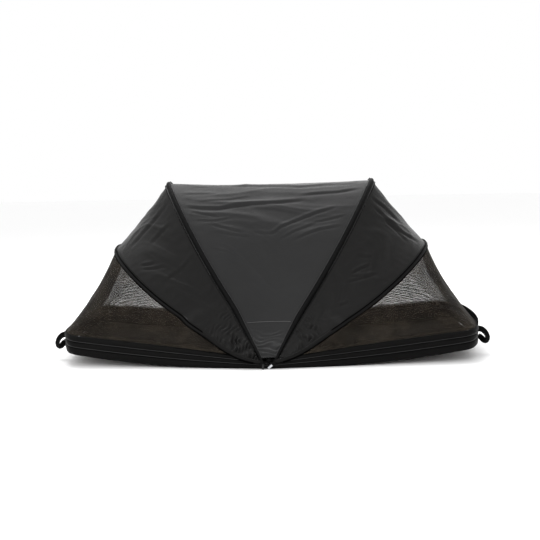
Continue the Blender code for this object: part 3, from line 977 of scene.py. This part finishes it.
# %% [markdown]
# ## The side panels
#
# A darker panel on each side joins an inner hoop to an outer one. It is narrow at the pins and
# wide at the top, and it is pulled tight along its length, so its folds are longer and finer
# than those of the door, and they crowd together near the pins. It could be cut in one with
# the door, but here each keeps its own cloth, and the zip can lie between them.

# %% Side panels
ZIP_EDGE = 0.0137
ZIP_LAP = 0.0015
SIDE_SEEDS = {"left": (6.0, 10.0), "right": (16.0, 14.0)}  # of the wrinkles and the pleats
SIDE_MARKS = {
    "left": (
        (24, 42, (-370, 274), (-345, 278), (-330, 281)),
        (20, 42, (-366, 264), (-330, 267), (-300, 272)),
        (30, 60, (-266, 412), (-245, 370), (-222, 326)),
        (22, 60, (-418, 316), (-355, 383), (-309, 439)),
        (18, 60, (-348, 332), (-293, 388)),
        (16, 60, (-300, 230), (-250, 262), (-215, 300)),
    ),
    "right": (
        (26, 42, (235, 246), (262, 258), (288, 266)),
        (26, 42, (232, 237), (270, 238), (307, 242)),
        (24, 42, (222, 223), (255, 230), (292, 238)),
        (18, 45, (255, 293), (294, 286)),
        (24, 48, (305, 430), (348, 389), (395, 347)),
        (22, 45, (335, 396), (365, 366), (405, 322)),
        (22, 45, (340, 384), (390, 350), (443, 319)),
        (20, 50, (300, 455), (340, 425), (390, 375)),
        (20, 45, (196, 160), (224, 168)),
    ),
}
for word, side in SIDES:
    low = middle_part(hung["outer_" + word], PANEL_START, count=381, crowd=0.35)
    high = middle_part(hung["inner_" + word], PANEL_START, count=381, crowd=0.35)
    edges = (ROD_EDGE, (ZIP_EDGE - ZIP_LAP) * slim(high))
    places, turn = stretched(low, high, *edges, sag=0.004, across=85)
    seed, pleat_seed = SIDE_SEEDS[word]
    depth = wrinkles(places, turn, seed, pucker=0.0012, slack=0.0026, crumple=0.0004)
    depth += gathers(places, pleat_seed, reach=0.210, pitch=0.0120, depth=0.0050, level=False)
    depth += creases(places, SIDE_MARKS[word])
    turned_round = far_marks(SIDE_MARKS["left" if word == "right" else "right"])
    depth += creases(places, turned_round, near_side=False)
    places = pressed(places, turn, depth, fade=10.0)
    panel = lay_sheet("canopy_side_" + word, places, side_cloth, "black_fabric", turn=turn)
    fan_blend(panel)
    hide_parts("side_panel_" + word)

# %% [markdown]
# ## The net windows
#
# Each end is closed by net from the band up to the outer hoop. Net has little body, so it
# shows shallow waves where it is gathered into the band, and almost none above. Its holes are
# drawn together where it is pulled: over the end of the tent between two creases, and in a
# narrow gathered strip along the band. Second layers of net could show that, but they would
# flicker against the first. So an attribute called "closed" says how far the holes close.

# %% How far the net's holes close
NET_ROWS = 260.0
CORNER_ROW, CORNER_LEAN = 93.6, 20.0  # the row at the band, and its shift up to the hoop
CORNER_SOFTNESS, CREASE_ROWS, INNER_CREASE_ROWS = 1.2, 0.9, 0.6
END_FACE_CLOSED, CREASE_CLOSED, GATHER_CLOSED = 0.86, 0.95, 0.9
GATHER_HEIGHT, GATHER_WAVES = 0.011, 0.009


def bell(distance, width):
    """1 in the middle, and soon nothing on both sides."""
    return np.exp(-((distance / width) ** 2))


def net_closing(places, turn, side):
    """How far the net's holes are drawn together, 0 to 1: the end face, creases, the gathers."""
    seed = 7.0 * side
    steps = np.arange(len(turn))
    row = np.minimum(steps, steps[::-1])[:, None] * NET_ROWS / steps[-1]
    past_corner = row - (CORNER_ROW - 0.9 * side + CORNER_LEAN * turn)
    end_face = np.clip(past_corner / CORNER_SOFTNESS, 0.0, 1.0)
    before_corner = past_corner + 7.0 + 2.5 * side
    inner_crease = (0.40 - 0.10 * side) * bell(before_corner, INNER_CREASE_ROWS)
    inner_crease = inner_crease * (turn > 0.3) * (places[..., 1] < 0.0)
    crease = np.maximum(CREASE_CLOSED * bell(past_corner, CREASE_ROWS), inner_crease)
    run = steps[:, None] * np.ones_like(turn)
    wavy = noise_field(np.stack([run * 0.16, np.full_like(run, seed), 0.0 * run], axis=2))
    height = turn * steps_between(places, 1).sum(axis=1)[:, None]
    gather = np.clip(1.0 - height / (GATHER_HEIGHT + GATHER_WAVES * wavy), 0.0, 1.0) ** 0.6
    streaks = 0.12 * np.clip(noise_at(run * 0.45, turn * 1.5, seed), 0.0, 1.0)
    closing = np.maximum(np.maximum(END_FACE_CLOSED * end_face, crease), GATHER_CLOSED * gather)
    return np.clip(closing + streaks, 0.0, 1.0)


print("the end face starts at row", CORNER_ROW, "of", NET_ROWS)

# %% Net windows
BAND_EDGE = 0.0006
for word, side in SIDES:
    edge = plan_line(side, EDGE_START, EDGE_INSET, band_top, count=801)
    low = middle_part(edge, PANEL_START, count=261)
    high = middle_part(hung["outer_" + word], PANEL_START, count=261)
    places, turn = stretched(low, high, BAND_EDGE, ROD_EDGE, sag=0.010, across=61)
    seed = 23.0 + 5.0 * side
    depth = wrinkles(places, turn, seed, pucker=0.0016, slack=0.0024, crumple=0.0002)
    places = pressed(places, turn, depth, fade=10.0)
    attributes = {"closed": net_closing(places, turn, side), "turn": turn}
    name = "window_" + word
    window = lay_sheet(name, places, net_cloth, "window_mesh", NET_THICKNESS, **attributes)
    fan_blend(window)
    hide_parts("mesh_end_" + word)

# %% [markdown]
# ## Sleeves over the rods
#
# Each rod runs in a sewn sleeve. A swept circle would look like a pipe, so the section here is
# a slightly flattened oval with gathers running round it, and it wanders a little as stitched
# cloth does. A long grid is wrapped round the rod's line, its seam is merged, and its ends are
# closed.

# %% Wrap a tube of cloth
GATHERS = 48.0  # in a metre
GATHER_ROUND = 0.9


def frame_along(line):
    """Outward and sideways directions at each point of a line."""
    tangent = unit(np.gradient(line, axis=0))
    out = line - INSIDE
    out = unit(out - (out * tangent).sum(axis=1, keepdims=True) * tangent)
    return out, np.cross(tangent, out)


def wrap_tube(name, line, halves, material, sides=12, gather=0.0, seed=0.0, ways=None):
    """A closed tube of cloth round a line. Its two half sizes may change along the line."""
    out, side = ways or frame_along(line)
    shape = (len(line), 1)
    half_out, half_side = (np.broadcast_to(np.reshape(half, (-1, 1)), shape) for half in halves)
    turns = np.linspace(0.0, 2.0 * math.pi, sides + 1)
    turns[-1] = 0.0
    run = running(steps_between(line, 0))
    ring = []
    for cos, sin in [(math.cos(turn), math.sin(turn)) for turn in turns]:
        swell = np.ones(shape)
        if gather:
            spots = np.full_like(run, cos * GATHER_ROUND + seed)
            swell = 1.0 + gather * noise_at(run * GATHERS, spots, sin * GATHER_ROUND)[:, None]
        ring.append(line + out * half_out * cos * swell + side * half_side * sin * swell)
    piece = grid_object(name, np.stack(ring, axis=1))
    bpy.ops.object.mode_set(mode="EDIT")
    bpy.ops.mesh.select_all(action="SELECT")
    bpy.ops.mesh.remove_doubles(threshold=0.00001)
    bpy.ops.mesh.select_all(action="DESELECT")
    bpy.ops.mesh.select_non_manifold()
    bpy.ops.mesh.edge_face_add()
    bpy.ops.mesh.select_all(action="SELECT")
    bpy.ops.mesh.normals_make_consistent(inside=False)
    bpy.ops.object.mode_set(mode="OBJECT")
    return finish_piece(piece, material)


def drawn_in(count, tip):
    """1 along a tube, and less at its first and last two points, for a sewn end."""
    ease = np.ones(count)
    ease[[0, -1]] = tip
    ease[[1, -2]] = 0.5 + 0.5 * tip
    return ease


print("tube helpers ready")

# %% [markdown]
# The sleeves of the two inner hoops run on past the gathers: each ends in a flat tail that
# hangs over the outside of the band. A tail could be a strip of its own, but then a joint would
# show. The tails of the left and right sleeve lie side by side, one a little further out, so
# that they pass each other when the tent folds.

# %% Hoop sleeves
SLEEVE_POINTS = 420
SLEEVE_OUT = 0.0062
SLEEVE_SIDE = {"inner": 0.0078, "outer": 0.0055}
SLEEVE_FLAT = {"inner": (0.24, 0.76), "outer": (0.55, 0.45)}  # at the hub, gained above it
SLEEVE_CLOTH = {"inner": sleeve_cloth, "outer": hem_cloth}
FLAT_FROM, FLAT_RISE = 0.022, 0.040
SLEEVE_TIP, SLEEVE_GATHER = 0.6, 0.11
TAILS = {"left": (-0.0168, -0.3545, 0.0060), "right": (0.0100, -0.3515, 0.0100)}
sleeve_lines = {}
for kind, word, side in HOOP_SIDES:
    key = kind + "_" + word
    line = hung[key]
    if kind == "inner":
        x, y, z = TAILS[word]
        line = [Vector((x, y, z))] + line + [Vector((x, -y, z))]
    sleeve_lines[key] = path = as_array(resample(line, SLEEVE_POINTS))
    ease = drawn_in(SLEEVE_POINTS, SLEEVE_TIP)
    least, gained = SLEEVE_FLAT[kind]
    rise = np.clip((path[:, 2] - FLAT_FROM) / FLAT_RISE, 0.0, 1.0)
    halves = [SLEEVE_OUT * ease * (least + gained * rise), SLEEVE_SIDE[kind] * ease]
    if kind == "inner":
        halves[1] = halves[1] * slim(path)[:, 0]
    sleeve = wrap_tube("sleeve_" + key, path, halves, SLEEVE_CLOTH[kind],
                       gather=SLEEVE_GATHER, seed=1.5 + 1.5 * side)
    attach(sleeve, "hoop_" + key)
    tell(sleeve)

# %% [markdown]
# ## Pipings, seams and zips
#
# On the side of the door each inner sleeve is edged with a thin grey piping. Near the ridge a
# pale one runs on its other side too, with a black bead beside it that is painted shadow: it
# stands for the shade where the side panel meets the sleeve. Beside each outer sleeve run a black
# piping on the net's side and, higher up on the canopy's side, a black bead of painted shadow.
# They could be drawn by the material, but only a raised bead catches light from all sides. A zip
# joins each inner sleeve to the side panel: a woven tape with a coil of plastic teeth along its
# middle. The coil is one long ribbed bead here, because two thousand separate teeth would be
# smaller than a picture can show.

# %% Beads
PIPING_RADIUS = 0.0009
BEAD_GATHER = 0.05
BEAD_SIDES = 8


def beside(path, distance, lift, side):
    """A line beside another, on the canopy's surface, and raised by a lift."""
    out, across = frame_along(path)
    flip = np.sign((across * np.array([side, 0.0, 0.0])).sum(axis=1, keepdims=True))
    flip[flip == 0.0] = 1.0
    return path + across * flip * distance + out * lift


def above(key, height):
    """The part of a sleeve's line that is higher than a height."""
    return sleeve_lines[key][sleeve_lines[key][:, 2] > height]


def bead(name, line, radius, material, body, gather=0.0):
    """A thin round piping, seam or bead of painted shadow along a line, which rides on a body."""
    piece = wrap_tube(name, line, (radius, radius), material, BEAD_SIDES, gather)
    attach(piece, body)
    tell(piece)


print("pipings are", 2000.0 * PIPING_RADIUS, "mm thick")

# %% Pipings, seams and painted shadow lines of the sleeves
PIPING_LIFT, SEAM_LIFT = 0.0016, 0.0026
PIPING_LOWEST, UPPER_LOWEST = 0.030, 0.250
INNER, OUTER = SLEEVE_SIDE["inner"], SLEEVE_SIDE["outer"]
UPPER_BEADS = (  # distance from the sleeve's edge, radius, material
    ("piping_upper_", 0.0012, PIPING_RADIUS, seam_thread),
    # a black bead of painted shadow, where the side panel meets the sleeve
    ("shadow_seam_", 0.0036, 0.0016, edge_cloth),
)
OUTER_SEAM_AND_SHADOW = (  # distance from the sleeve's middle, radius, height above which it runs
    ("net_seam_", OUTER + 0.0004, 0.0026, 0.0),
    # on the canopy's side: a black bead of painted shadow, not a seam
    ("cloth_side_shadow_", -OUTER - 0.0002, 0.0017, 0.095),
)
for word, side in SIDES:
    key = "inner_" + word
    line = above(key, PIPING_LOWEST)
    path = beside(line, INNER * slim(line) + PIPING_RADIUS, PIPING_LIFT, -side)
    bead("piping_" + key, path, PIPING_RADIUS, piping_cloth, "hoop_" + key, BEAD_GATHER)

for word, side in SIDES:
    key = "inner_" + word
    for name, distance, radius, material in UPPER_BEADS:
        path = beside(above(key, UPPER_LOWEST), INNER + distance, PIPING_LIFT, side)
        bead(name + word, path, radius, material, "hoop_" + key)

for word, side in SIDES:
    key = "outer_" + word
    line = sleeve_lines[key][6:-6]
    for name, distance, radius, lowest in OUTER_SEAM_AND_SHADOW:
        path = beside(line, distance, SEAM_LIFT, side)[line[:, 2] > lowest]
        bead(name + word, path, radius, edge_cloth, "hoop_" + key, BEAD_GATHER)

# %% Zips
ZIP_LOWEST = 0.050
TAPE_START = INNER - 0.0012
TAPE_WIDTH = 0.0070
TAPE_LIFT, COIL_LIFT = 0.0012, 0.0022
TAPE_THICKNESS = 0.0011
COIL_POINTS, COIL_OUT, COIL_SIDE, RIB_DEPTH = 900, 0.0010, 0.0017, 0.16
ribs = 1.0 + RIB_DEPTH * np.cos(np.arange(COIL_POINTS) * math.pi)
for word, side in SIDES:
    key = "inner_" + word
    path = above(key, ZIP_LOWEST)
    columns = []
    for share in np.linspace(0.0, 1.0, 5):
        distance = (TAPE_START + TAPE_WIDTH * share) * slim(path)
        columns.append(beside(path, distance, TAPE_LIFT, side))
    places = np.stack(columns, axis=1)
    tape = lay_sheet("zip_tape_" + word, places, tape_cloth, "zip_tape", TAPE_THICKNESS)
    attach(tape, "hoop_" + key)
    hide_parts("zip_" + word)
    middle = beside(path, (TAPE_START + 0.5 * TAPE_WIDTH) * slim(path), COIL_LIFT, side)
    line = as_array(resample([Vector(p) for p in middle], COIL_POINTS))
    halves = (COIL_OUT * ribs, COIL_SIDE * ribs)
    coil = wrap_tube("zip_coil_" + word, line, halves, zip_metal, sides=6)
    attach(coil, "hoop_" + key)
    tell(coil)

# %% [markdown]
# ## The band round the base
#
# The band is sewn from strips: a roll over the base rod at the top, a second roll below it, and
# a plain strip down to the floor, with a grey piping in each groove between them. Black beads
# along the top and just below each piping are painted shadow: they stand for the shade in the
# grooves. All of it could be one plain wall with a bump map, but the rolls are what catches light
# along the whole base, so they are shaped. The section is drawn as pairs of height share and
# outward offset, and carried round the base outline.

# %% Band section
BAND_SECTION = (  # share of the height, from the top, and offset outwards in millimetres
    (0.000, 0.0), (0.025, 1.4), (0.060, 3.0), (0.110, 4.2), (0.160, 4.6), (0.210, 4.0),
    (0.250, 2.6), (0.280, 0.9), (0.300, 0.7), (0.325, 1.3), (0.370, 2.6), (0.430, 3.4),
    (0.490, 3.2), (0.540, 2.3), (0.580, 1.0), (0.605, 0.7), (0.635, 1.3), (0.700, 2.3),
    (0.780, 2.9), (0.860, 2.7), (0.920, 2.0), (0.960, 1.5), (1.000, 0.4),
)
BAND_POINTS = 361
BAND_FOOT = 0.0004
FULL_BAND = 0.045


def band_places(side, share, offset, wrinkle):
    """A line round half of the base at a share of the band's height, offset outwards."""
    base = as_array(plan_line(side, EDGE_START, 0.0, lambda reach: 0.0, BAND_POINTS))
    along = unit(np.gradient(base, axis=0))
    outward = np.stack([along[:, 1], -along[:, 0], 0.0 * along[:, 0]], axis=1) * side
    top = np.array([band_top(abs(x)) for x in base[:, 0]])
    foot = np.array([floor_height(abs(x)) for x in base[:, 0]]) + BAND_FOOT
    scale = np.minimum(1.0, (top - foot) / FULL_BAND)
    run = running(steps_between(base, 0))
    waves = noise_at(run * 26.0, np.full_like(run, share * 5.0 + 4.0 * side), 0.0)
    finer = noise_at(run * 70.0, np.full_like(run, share * 9.0 + 4.0 * side), 1.0)
    places = base + outward * ((offset + wrinkle * (waves + 0.5 * finer)) * scale)[:, None]
    places[:, 2] = top + (foot - top) * share
    return places


print("band section:", len(BAND_SECTION), "points")

# %% Band
BAND_WRINKLE, BEAD_WRINKLE = 0.0013, 0.0008
BAND_THICKNESS = 0.0012
BAND_PIPING_OUT, BAND_SHADOW_OUT, BAND_SHADOW_RADIUS = 0.0020, 0.0014, 0.0013
BAND_PIPINGS = (("upper", 0.290), ("lower", 0.592))
# black beads of painted shadow: along the band's top, and below each piping in its groove
BAND_SHADOW_LINES = (("top", 0.045), ("upper", 0.345), ("lower", 0.645))
for word, side in SIDES:
    body = "base_" + word
    columns = [band_places(side, share, 0.001 * mm, BAND_WRINKLE) for share, mm in BAND_SECTION]
    places = np.stack(columns, axis=1)
    wall = lay_sheet("band_wall_" + word, places, band_cloth, "black_fabric", BAND_THICKNESS)
    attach(wall, body)
    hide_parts("band_" + word)
    for label, share in BAND_PIPINGS:
        line = band_places(side, share, BAND_PIPING_OUT, BEAD_WRINKLE)
        bead("band_piping_" + label + "_" + word, line, PIPING_RADIUS, piping_cloth, body)
    # painted shadow lines in the band's grooves
    for label, share in BAND_SHADOW_LINES:
        line = band_places(side, share, BAND_SHADOW_OUT, BEAD_WRINKLE)
        bead("band_seam_" + label + "_" + word, line, BAND_SHADOW_RADIUS, edge_cloth, body)

# %% [markdown]
# Inside the band the base rod runs in a sleeve of its own, seen through the net and through
# the open door. The solid's plain rod could stay, but it would shine where cloth doesn't. So it
# gets a tube of cloth too, round the same line as the solid.

# %% Base sleeves
BASE_SLEEVE = 0.0061


def base_rod_line(side, eye_y, count):
    """The base rod from its near eye, inside the band, to its far eye."""
    inside = plan_line(side, ROD_START, BASE_ROD_INSET, base_rod_height, EVEN_STEPS + 1)
    shift = eye_y - abs(inside[0].y)
    line = []
    for point in inside:
        ease = eased(min(abs(point.x) / BASE_ROD_FLARE, 1.0))
        outwards = math.copysign(1.0, point.y) * shift * (1.0 - ease)
        line.append(point + Vector((0.0, outwards, 0.0)))
    return resample(line, count)


for word, side in SIDES:
    path = as_array(base_rod_line(side, EYE_Y["base_" + word], count=320))
    half = BASE_SLEEVE * drawn_in(len(path), 0.85)
    cover = wrap_tube("base_sleeve_" + word, path, (half, half), sleeve_cloth,
                      gather=0.06, seed=9.0)
    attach(cover, "base_" + word)
    tell(cover)

# %% [markdown]
# ## The floor
#
# The floor is coated cloth in two halves that fold on the hub line. It lies flat on the ground
# in the middle and lifts towards both ends, where the rods pull it up. A flat plate would do in
# a picture from outside, but it is seen through the net. So it gets the broad shallow waves of
# cloth that lies loose, and a few straight fold lines from being packed.

# %% Floor cloth
CREASE_REACH = 0.080
CREASE_HEIGHT = 0.008
FLOOR_START, FLOOR_REACH, FLOOR_MARGIN = 0.001, 0.5955, 0.0030
FLOOR_ROWS, FLOOR_CELLS = 90, 96
FLOOR_LIFT = 0.0016
PACKED_AT, PACKED_WIDTH, PACKED_HEIGHT = 0.30, 0.006, 0.0012
WAVE_BASE, WAVE_HEIGHT = 0.0012, 0.0022
FLOOR_THICKNESS = 0.0010
cell_share = np.linspace(-1.0, 1.0, FLOOR_CELLS + 1)[None, :]
for word, side in SIDES:
    rows = []
    for step in range(FLOOR_ROWS + 1):
        reach = FLOOR_START + FLOOR_REACH * math.sin(0.5 * math.pi * step / FLOOR_ROWS)
        width = plan_half_width(reach) - FLOOR_MARGIN
        fold = CREASE_HEIGHT * eased(max(0.0, 1.0 - reach / CREASE_REACH))
        row = []
        for cell in range(FLOOR_CELLS + 1):
            across = -1.0 + cell / (0.5 * FLOOR_CELLS)
            inner = 1.0 - max(0.0, abs(across) - 0.75) / 0.25
            height = floor_height(reach) + fold * inner + FLOOR_LIFT
            row.append((side * reach, width * across, height))
        rows.append(row)
    places = np.array(rows)
    waves = noise_field(places * np.array([7.0, 9.0, 1.0]) + 2.0) + 0.5 * noise_field(places * 21.0)
    packed = bell(np.abs(places[..., 0]) - PACKED_AT, PACKED_WIDTH)
    packed = packed + bell(places[..., 1], PACKED_WIDTH)
    inner = np.minimum(0.25 - 0.25 * np.abs(cell_share), 0.10) / 0.10
    waves = WAVE_BASE + WAVE_HEIGHT * np.clip(waves, -0.5, 1.0)
    places[..., 2] += inner * (waves + PACKED_HEIGHT * packed)
    name = "floor_cloth_" + word
    ground = lay_sheet(name, places, floor_cloth, "floor_fabric", FLOOR_THICKNESS)
    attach(ground, "base_" + word)
    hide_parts("floor_" + word)

# %% [markdown]
# ## Hub wraps
#
# The eyes of all six rods sit side by side on each pin. On the real tent a scrap of cloth is
# wrapped round them. It could be draped over the eyes, but a body of revolution about the pin
# looks the same however far the tent is folded.

# %% Hub wraps
WRAP_START = 0.2625
WRAP_SECTION = (  # distance along the pin, and radius
    (0.0, 0.004), (0.003, 0.0082), (0.010, 0.0100), (0.022, 0.0106), (0.034, 0.0101),
    (0.046, 0.0107), (0.058, 0.0102), (0.070, 0.0098), (0.077, 0.0080), (0.079, 0.004),
)
radii = np.array([radius for _, radius in WRAP_SECTION])
ways = [np.tile(way, (len(radii), 1)) for way in ((0.0, 0.0, 1.0), (1.0, 0.0, 0.0))]
for word, sign in (("near", -1.0), ("far", 1.0)):
    line = np.array([(0.0, sign * (WRAP_START + step), PIN_HEIGHT) for step, _ in WRAP_SECTION])
    wrap = wrap_tube(
        "hub_wrap_" + word, line, (radii, radii), sleeve_cloth, 24, ways=ways)
    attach(wrap, "base_right")
    tell(wrap)

# %% [markdown]
# ## Webbing
#
# A folded loop of webbing hangs from each end of the band, and along the top of the right end
# runs a flat carrying strap. Webbing could be laid by a cloth simulation, but it is stiff for
# its size: it bends in even curves and never wrinkles. So each is a narrow sheet along a drawn
# curve, with a coarse weave.

# %% Webbing
WEB_WIDTH = 0.020
WEB_THICKNESS = 0.0016


def end_face(offset):
    """Outermost reach of the base outline at a distance from the middle line."""
    reach = HALF_LENGTH
    while plan_half_width(reach) < offset:
        reach -= 0.0001
    return reach


def web_strip(name, line, across):
    """A strip of webbing along a line, its width along one direction or one for each point."""
    columns = [line + across * WEB_WIDTH * share for share in np.linspace(-0.5, 0.5, 7)]
    return lay_sheet(name, np.stack(columns, axis=1), webbing_cloth, "webbing", WEB_THICKNESS)


print("webbing", WEB_WIDTH * 1000, "mm wide")

# %% Loops
LOOP_SHAPE = (  # outwards from the band, and height
    (0.000, 0.074), (0.006, 0.0735), (0.013, 0.071), (0.020, 0.065), (0.0255, 0.057),
    (0.0285, 0.048), (0.0275, 0.040), (0.0235, 0.0365), (0.0185, 0.038), (0.0135, 0.043),
    (0.008, 0.049), (0.003, 0.0525), (0.000, 0.054),
)
LOOP_Y = -0.170
LOOP_TWIST = 0.85
LOOP_START = end_face(0.160) + 0.0045
for word, side in SIDES:
    shape = [Vector((side * (LOOP_START + out), LOOP_Y, z)) for out, z in LOOP_SHAPE]
    line = as_array(resample(shape, count=61))
    along = unit(np.gradient(line, axis=0))
    turned = np.stack([-along[:, 2], 0.0 * along[:, 1], along[:, 0]], axis=1)
    flat = math.cos(LOOP_TWIST) * np.array([0.0, 1.0, 0.0])
    across = flat + side * math.sin(LOOP_TWIST) * turned
    loop = web_strip("webbing_loop_" + word, line, across)
    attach(loop, "base_" + word)
    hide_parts("end_loop_" + word)
    tell(loop)

# %% Strap
STRAP_ENDS = (-0.205, 0.170)
STRAP_OUT, STRAP_HEIGHT, STRAP_BULGE = 0.0030, 0.0890, 0.0060
STRAP_STEPS = 60
line = []
for step in range(STRAP_STEPS + 1):
    share = step / STRAP_STEPS
    y = STRAP_ENDS[0] + (STRAP_ENDS[1] - STRAP_ENDS[0]) * share
    bulge = STRAP_BULGE * math.sin(math.pi * share) ** 0.7
    line.append((end_face(abs(y)) + STRAP_OUT + bulge, y, STRAP_HEIGHT + bulge))
strap = web_strip("webbing_strap_right", np.array(line), np.array([0.0, 0.0, 1.0]))
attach(strap, "base_right")
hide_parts("end_strap_right")
tell(strap)

# %% [markdown]
# ## Zip sliders and pulls
#
# At the foot of each tail hangs the pull of a zip. It could be a plain block, but its dished
# faces and soft edges catch a point of light. One is modelled as by hand: a block is resized,
# its end faces are inset and pushed in, and its edges are bevelled. The others are copies with
# their own mesh, turned and put in their places.

# %% Zip pull
PULL_SIZE = (0.0058, 0.0024, 0.0140)
bpy.ops.object.select_all(action="DESELECT")
bpy.ops.mesh.primitive_cube_add(size=1.0, location=(0.0, 0.0, 0.0))
pull = bpy.context.object
pull.name = "pull_pattern"
bpy.ops.object.mode_set(mode="EDIT")
bpy.ops.mesh.select_all(action="SELECT")
bpy.ops.transform.resize(value=PULL_SIZE)
bpy.ops.mesh.select_all(action="DESELECT")
bpy.ops.object.mode_set(mode="OBJECT")
for face in pull.data.polygons:
    face.select = abs(face.normal.y) > 0.9
bpy.ops.object.mode_set(mode="EDIT")
bpy.ops.mesh.inset(thickness=0.0010, depth=-0.0005, use_individual=True)
bpy.ops.object.mode_set(mode="OBJECT")
rounding = pull.modifiers.new("rounding", "BEVEL")
rounding.width = 0.0006
rounding.segments = 2
rounding.limit_method = "ANGLE"
bpy.ops.object.modifier_apply(modifier="rounding")
print("pull has", len(pull.data.polygons), "faces")

# %% Pulls in place
PULL_PLACES = {  # place, and turn in degrees
    "near_left": (-0.0166, -0.3585, 0.0082, 3.0), "near_right": (0.0030, -0.3585, 0.0085, 48.0),
    "far_left": (-0.0166, 0.3585, 0.0082, 3.0), "far_right": (0.0080, 0.3585, 0.0085, 20.0),
}
for word, (x, y, z, turn) in PULL_PLACES.items():
    copy = pull.copy()
    copy.data = pull.data.copy()
    copy.name = "pull_" + word
    bpy.context.scene.collection.objects.link(copy)
    turned = Matrix.Rotation(math.radians(turn), 4, "Y")
    copy.data.transform(Matrix.Translation((x, y, z)) @ turned)
    finish_piece(copy, steel_finish if "right" in word else zip_metal)
    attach(copy, "base_" + word.split("_")[1])
    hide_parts("zip_pull_" + word)
bpy.data.objects.remove(pull, do_unlink=True)
print("pulls placed:", len(PULL_PLACES))

# %% [markdown]
# ## The sewn line on the door
#
# A single pale line of stitching crosses the door near its lower point. It could be a mark in
# the door's material, but one raised thread is simpler and keeps its edge close up. It is given
# the same shares of turn as the panel.

# %% Door seam
SEAM_HEIGHT = 0.1185
SEAM_PROUD = 0.0007
SEAM_HALVES = (0.0006, 0.0008)
SEAM_CELLS = slice(6, 115)
seam_row = int(np.argmin(np.abs(centre_places[:110, 60, 2] - SEAM_HEIGHT)))
outwards = surface_normals(centre_places)[seam_row, SEAM_CELLS]
line = centre_places[seam_row, SEAM_CELLS] + outwards * SEAM_PROUD
seam = wrap_tube("door_seam", line, SEAM_HALVES, seam_thread, sides=6)
vertices = as_array([vertex.co for vertex in seam.data.vertices])
nearest = np.argmin(np.linalg.norm(vertices[:, None] - line[None], axis=2), axis=1)
write_attribute(seam.data, "turn", "FLOAT", centre_turn[seam_row, SEAM_CELLS][nearest])
fan_blend(seam)
print("seam width", round(float(np.linalg.norm(line[-1] - line[0])), 3), "m")

# %% [markdown]
# ## Sizes and the end
#
# The cloth may stand a little proud of the solids. Both boxes are printed, so that they can be
# compared. Then the scene is done.

# %% Finish
for name, box in (("solids", cad_box), ("scene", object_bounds())):
    print(name, [round(value, 4) for corner in box for value in corner])
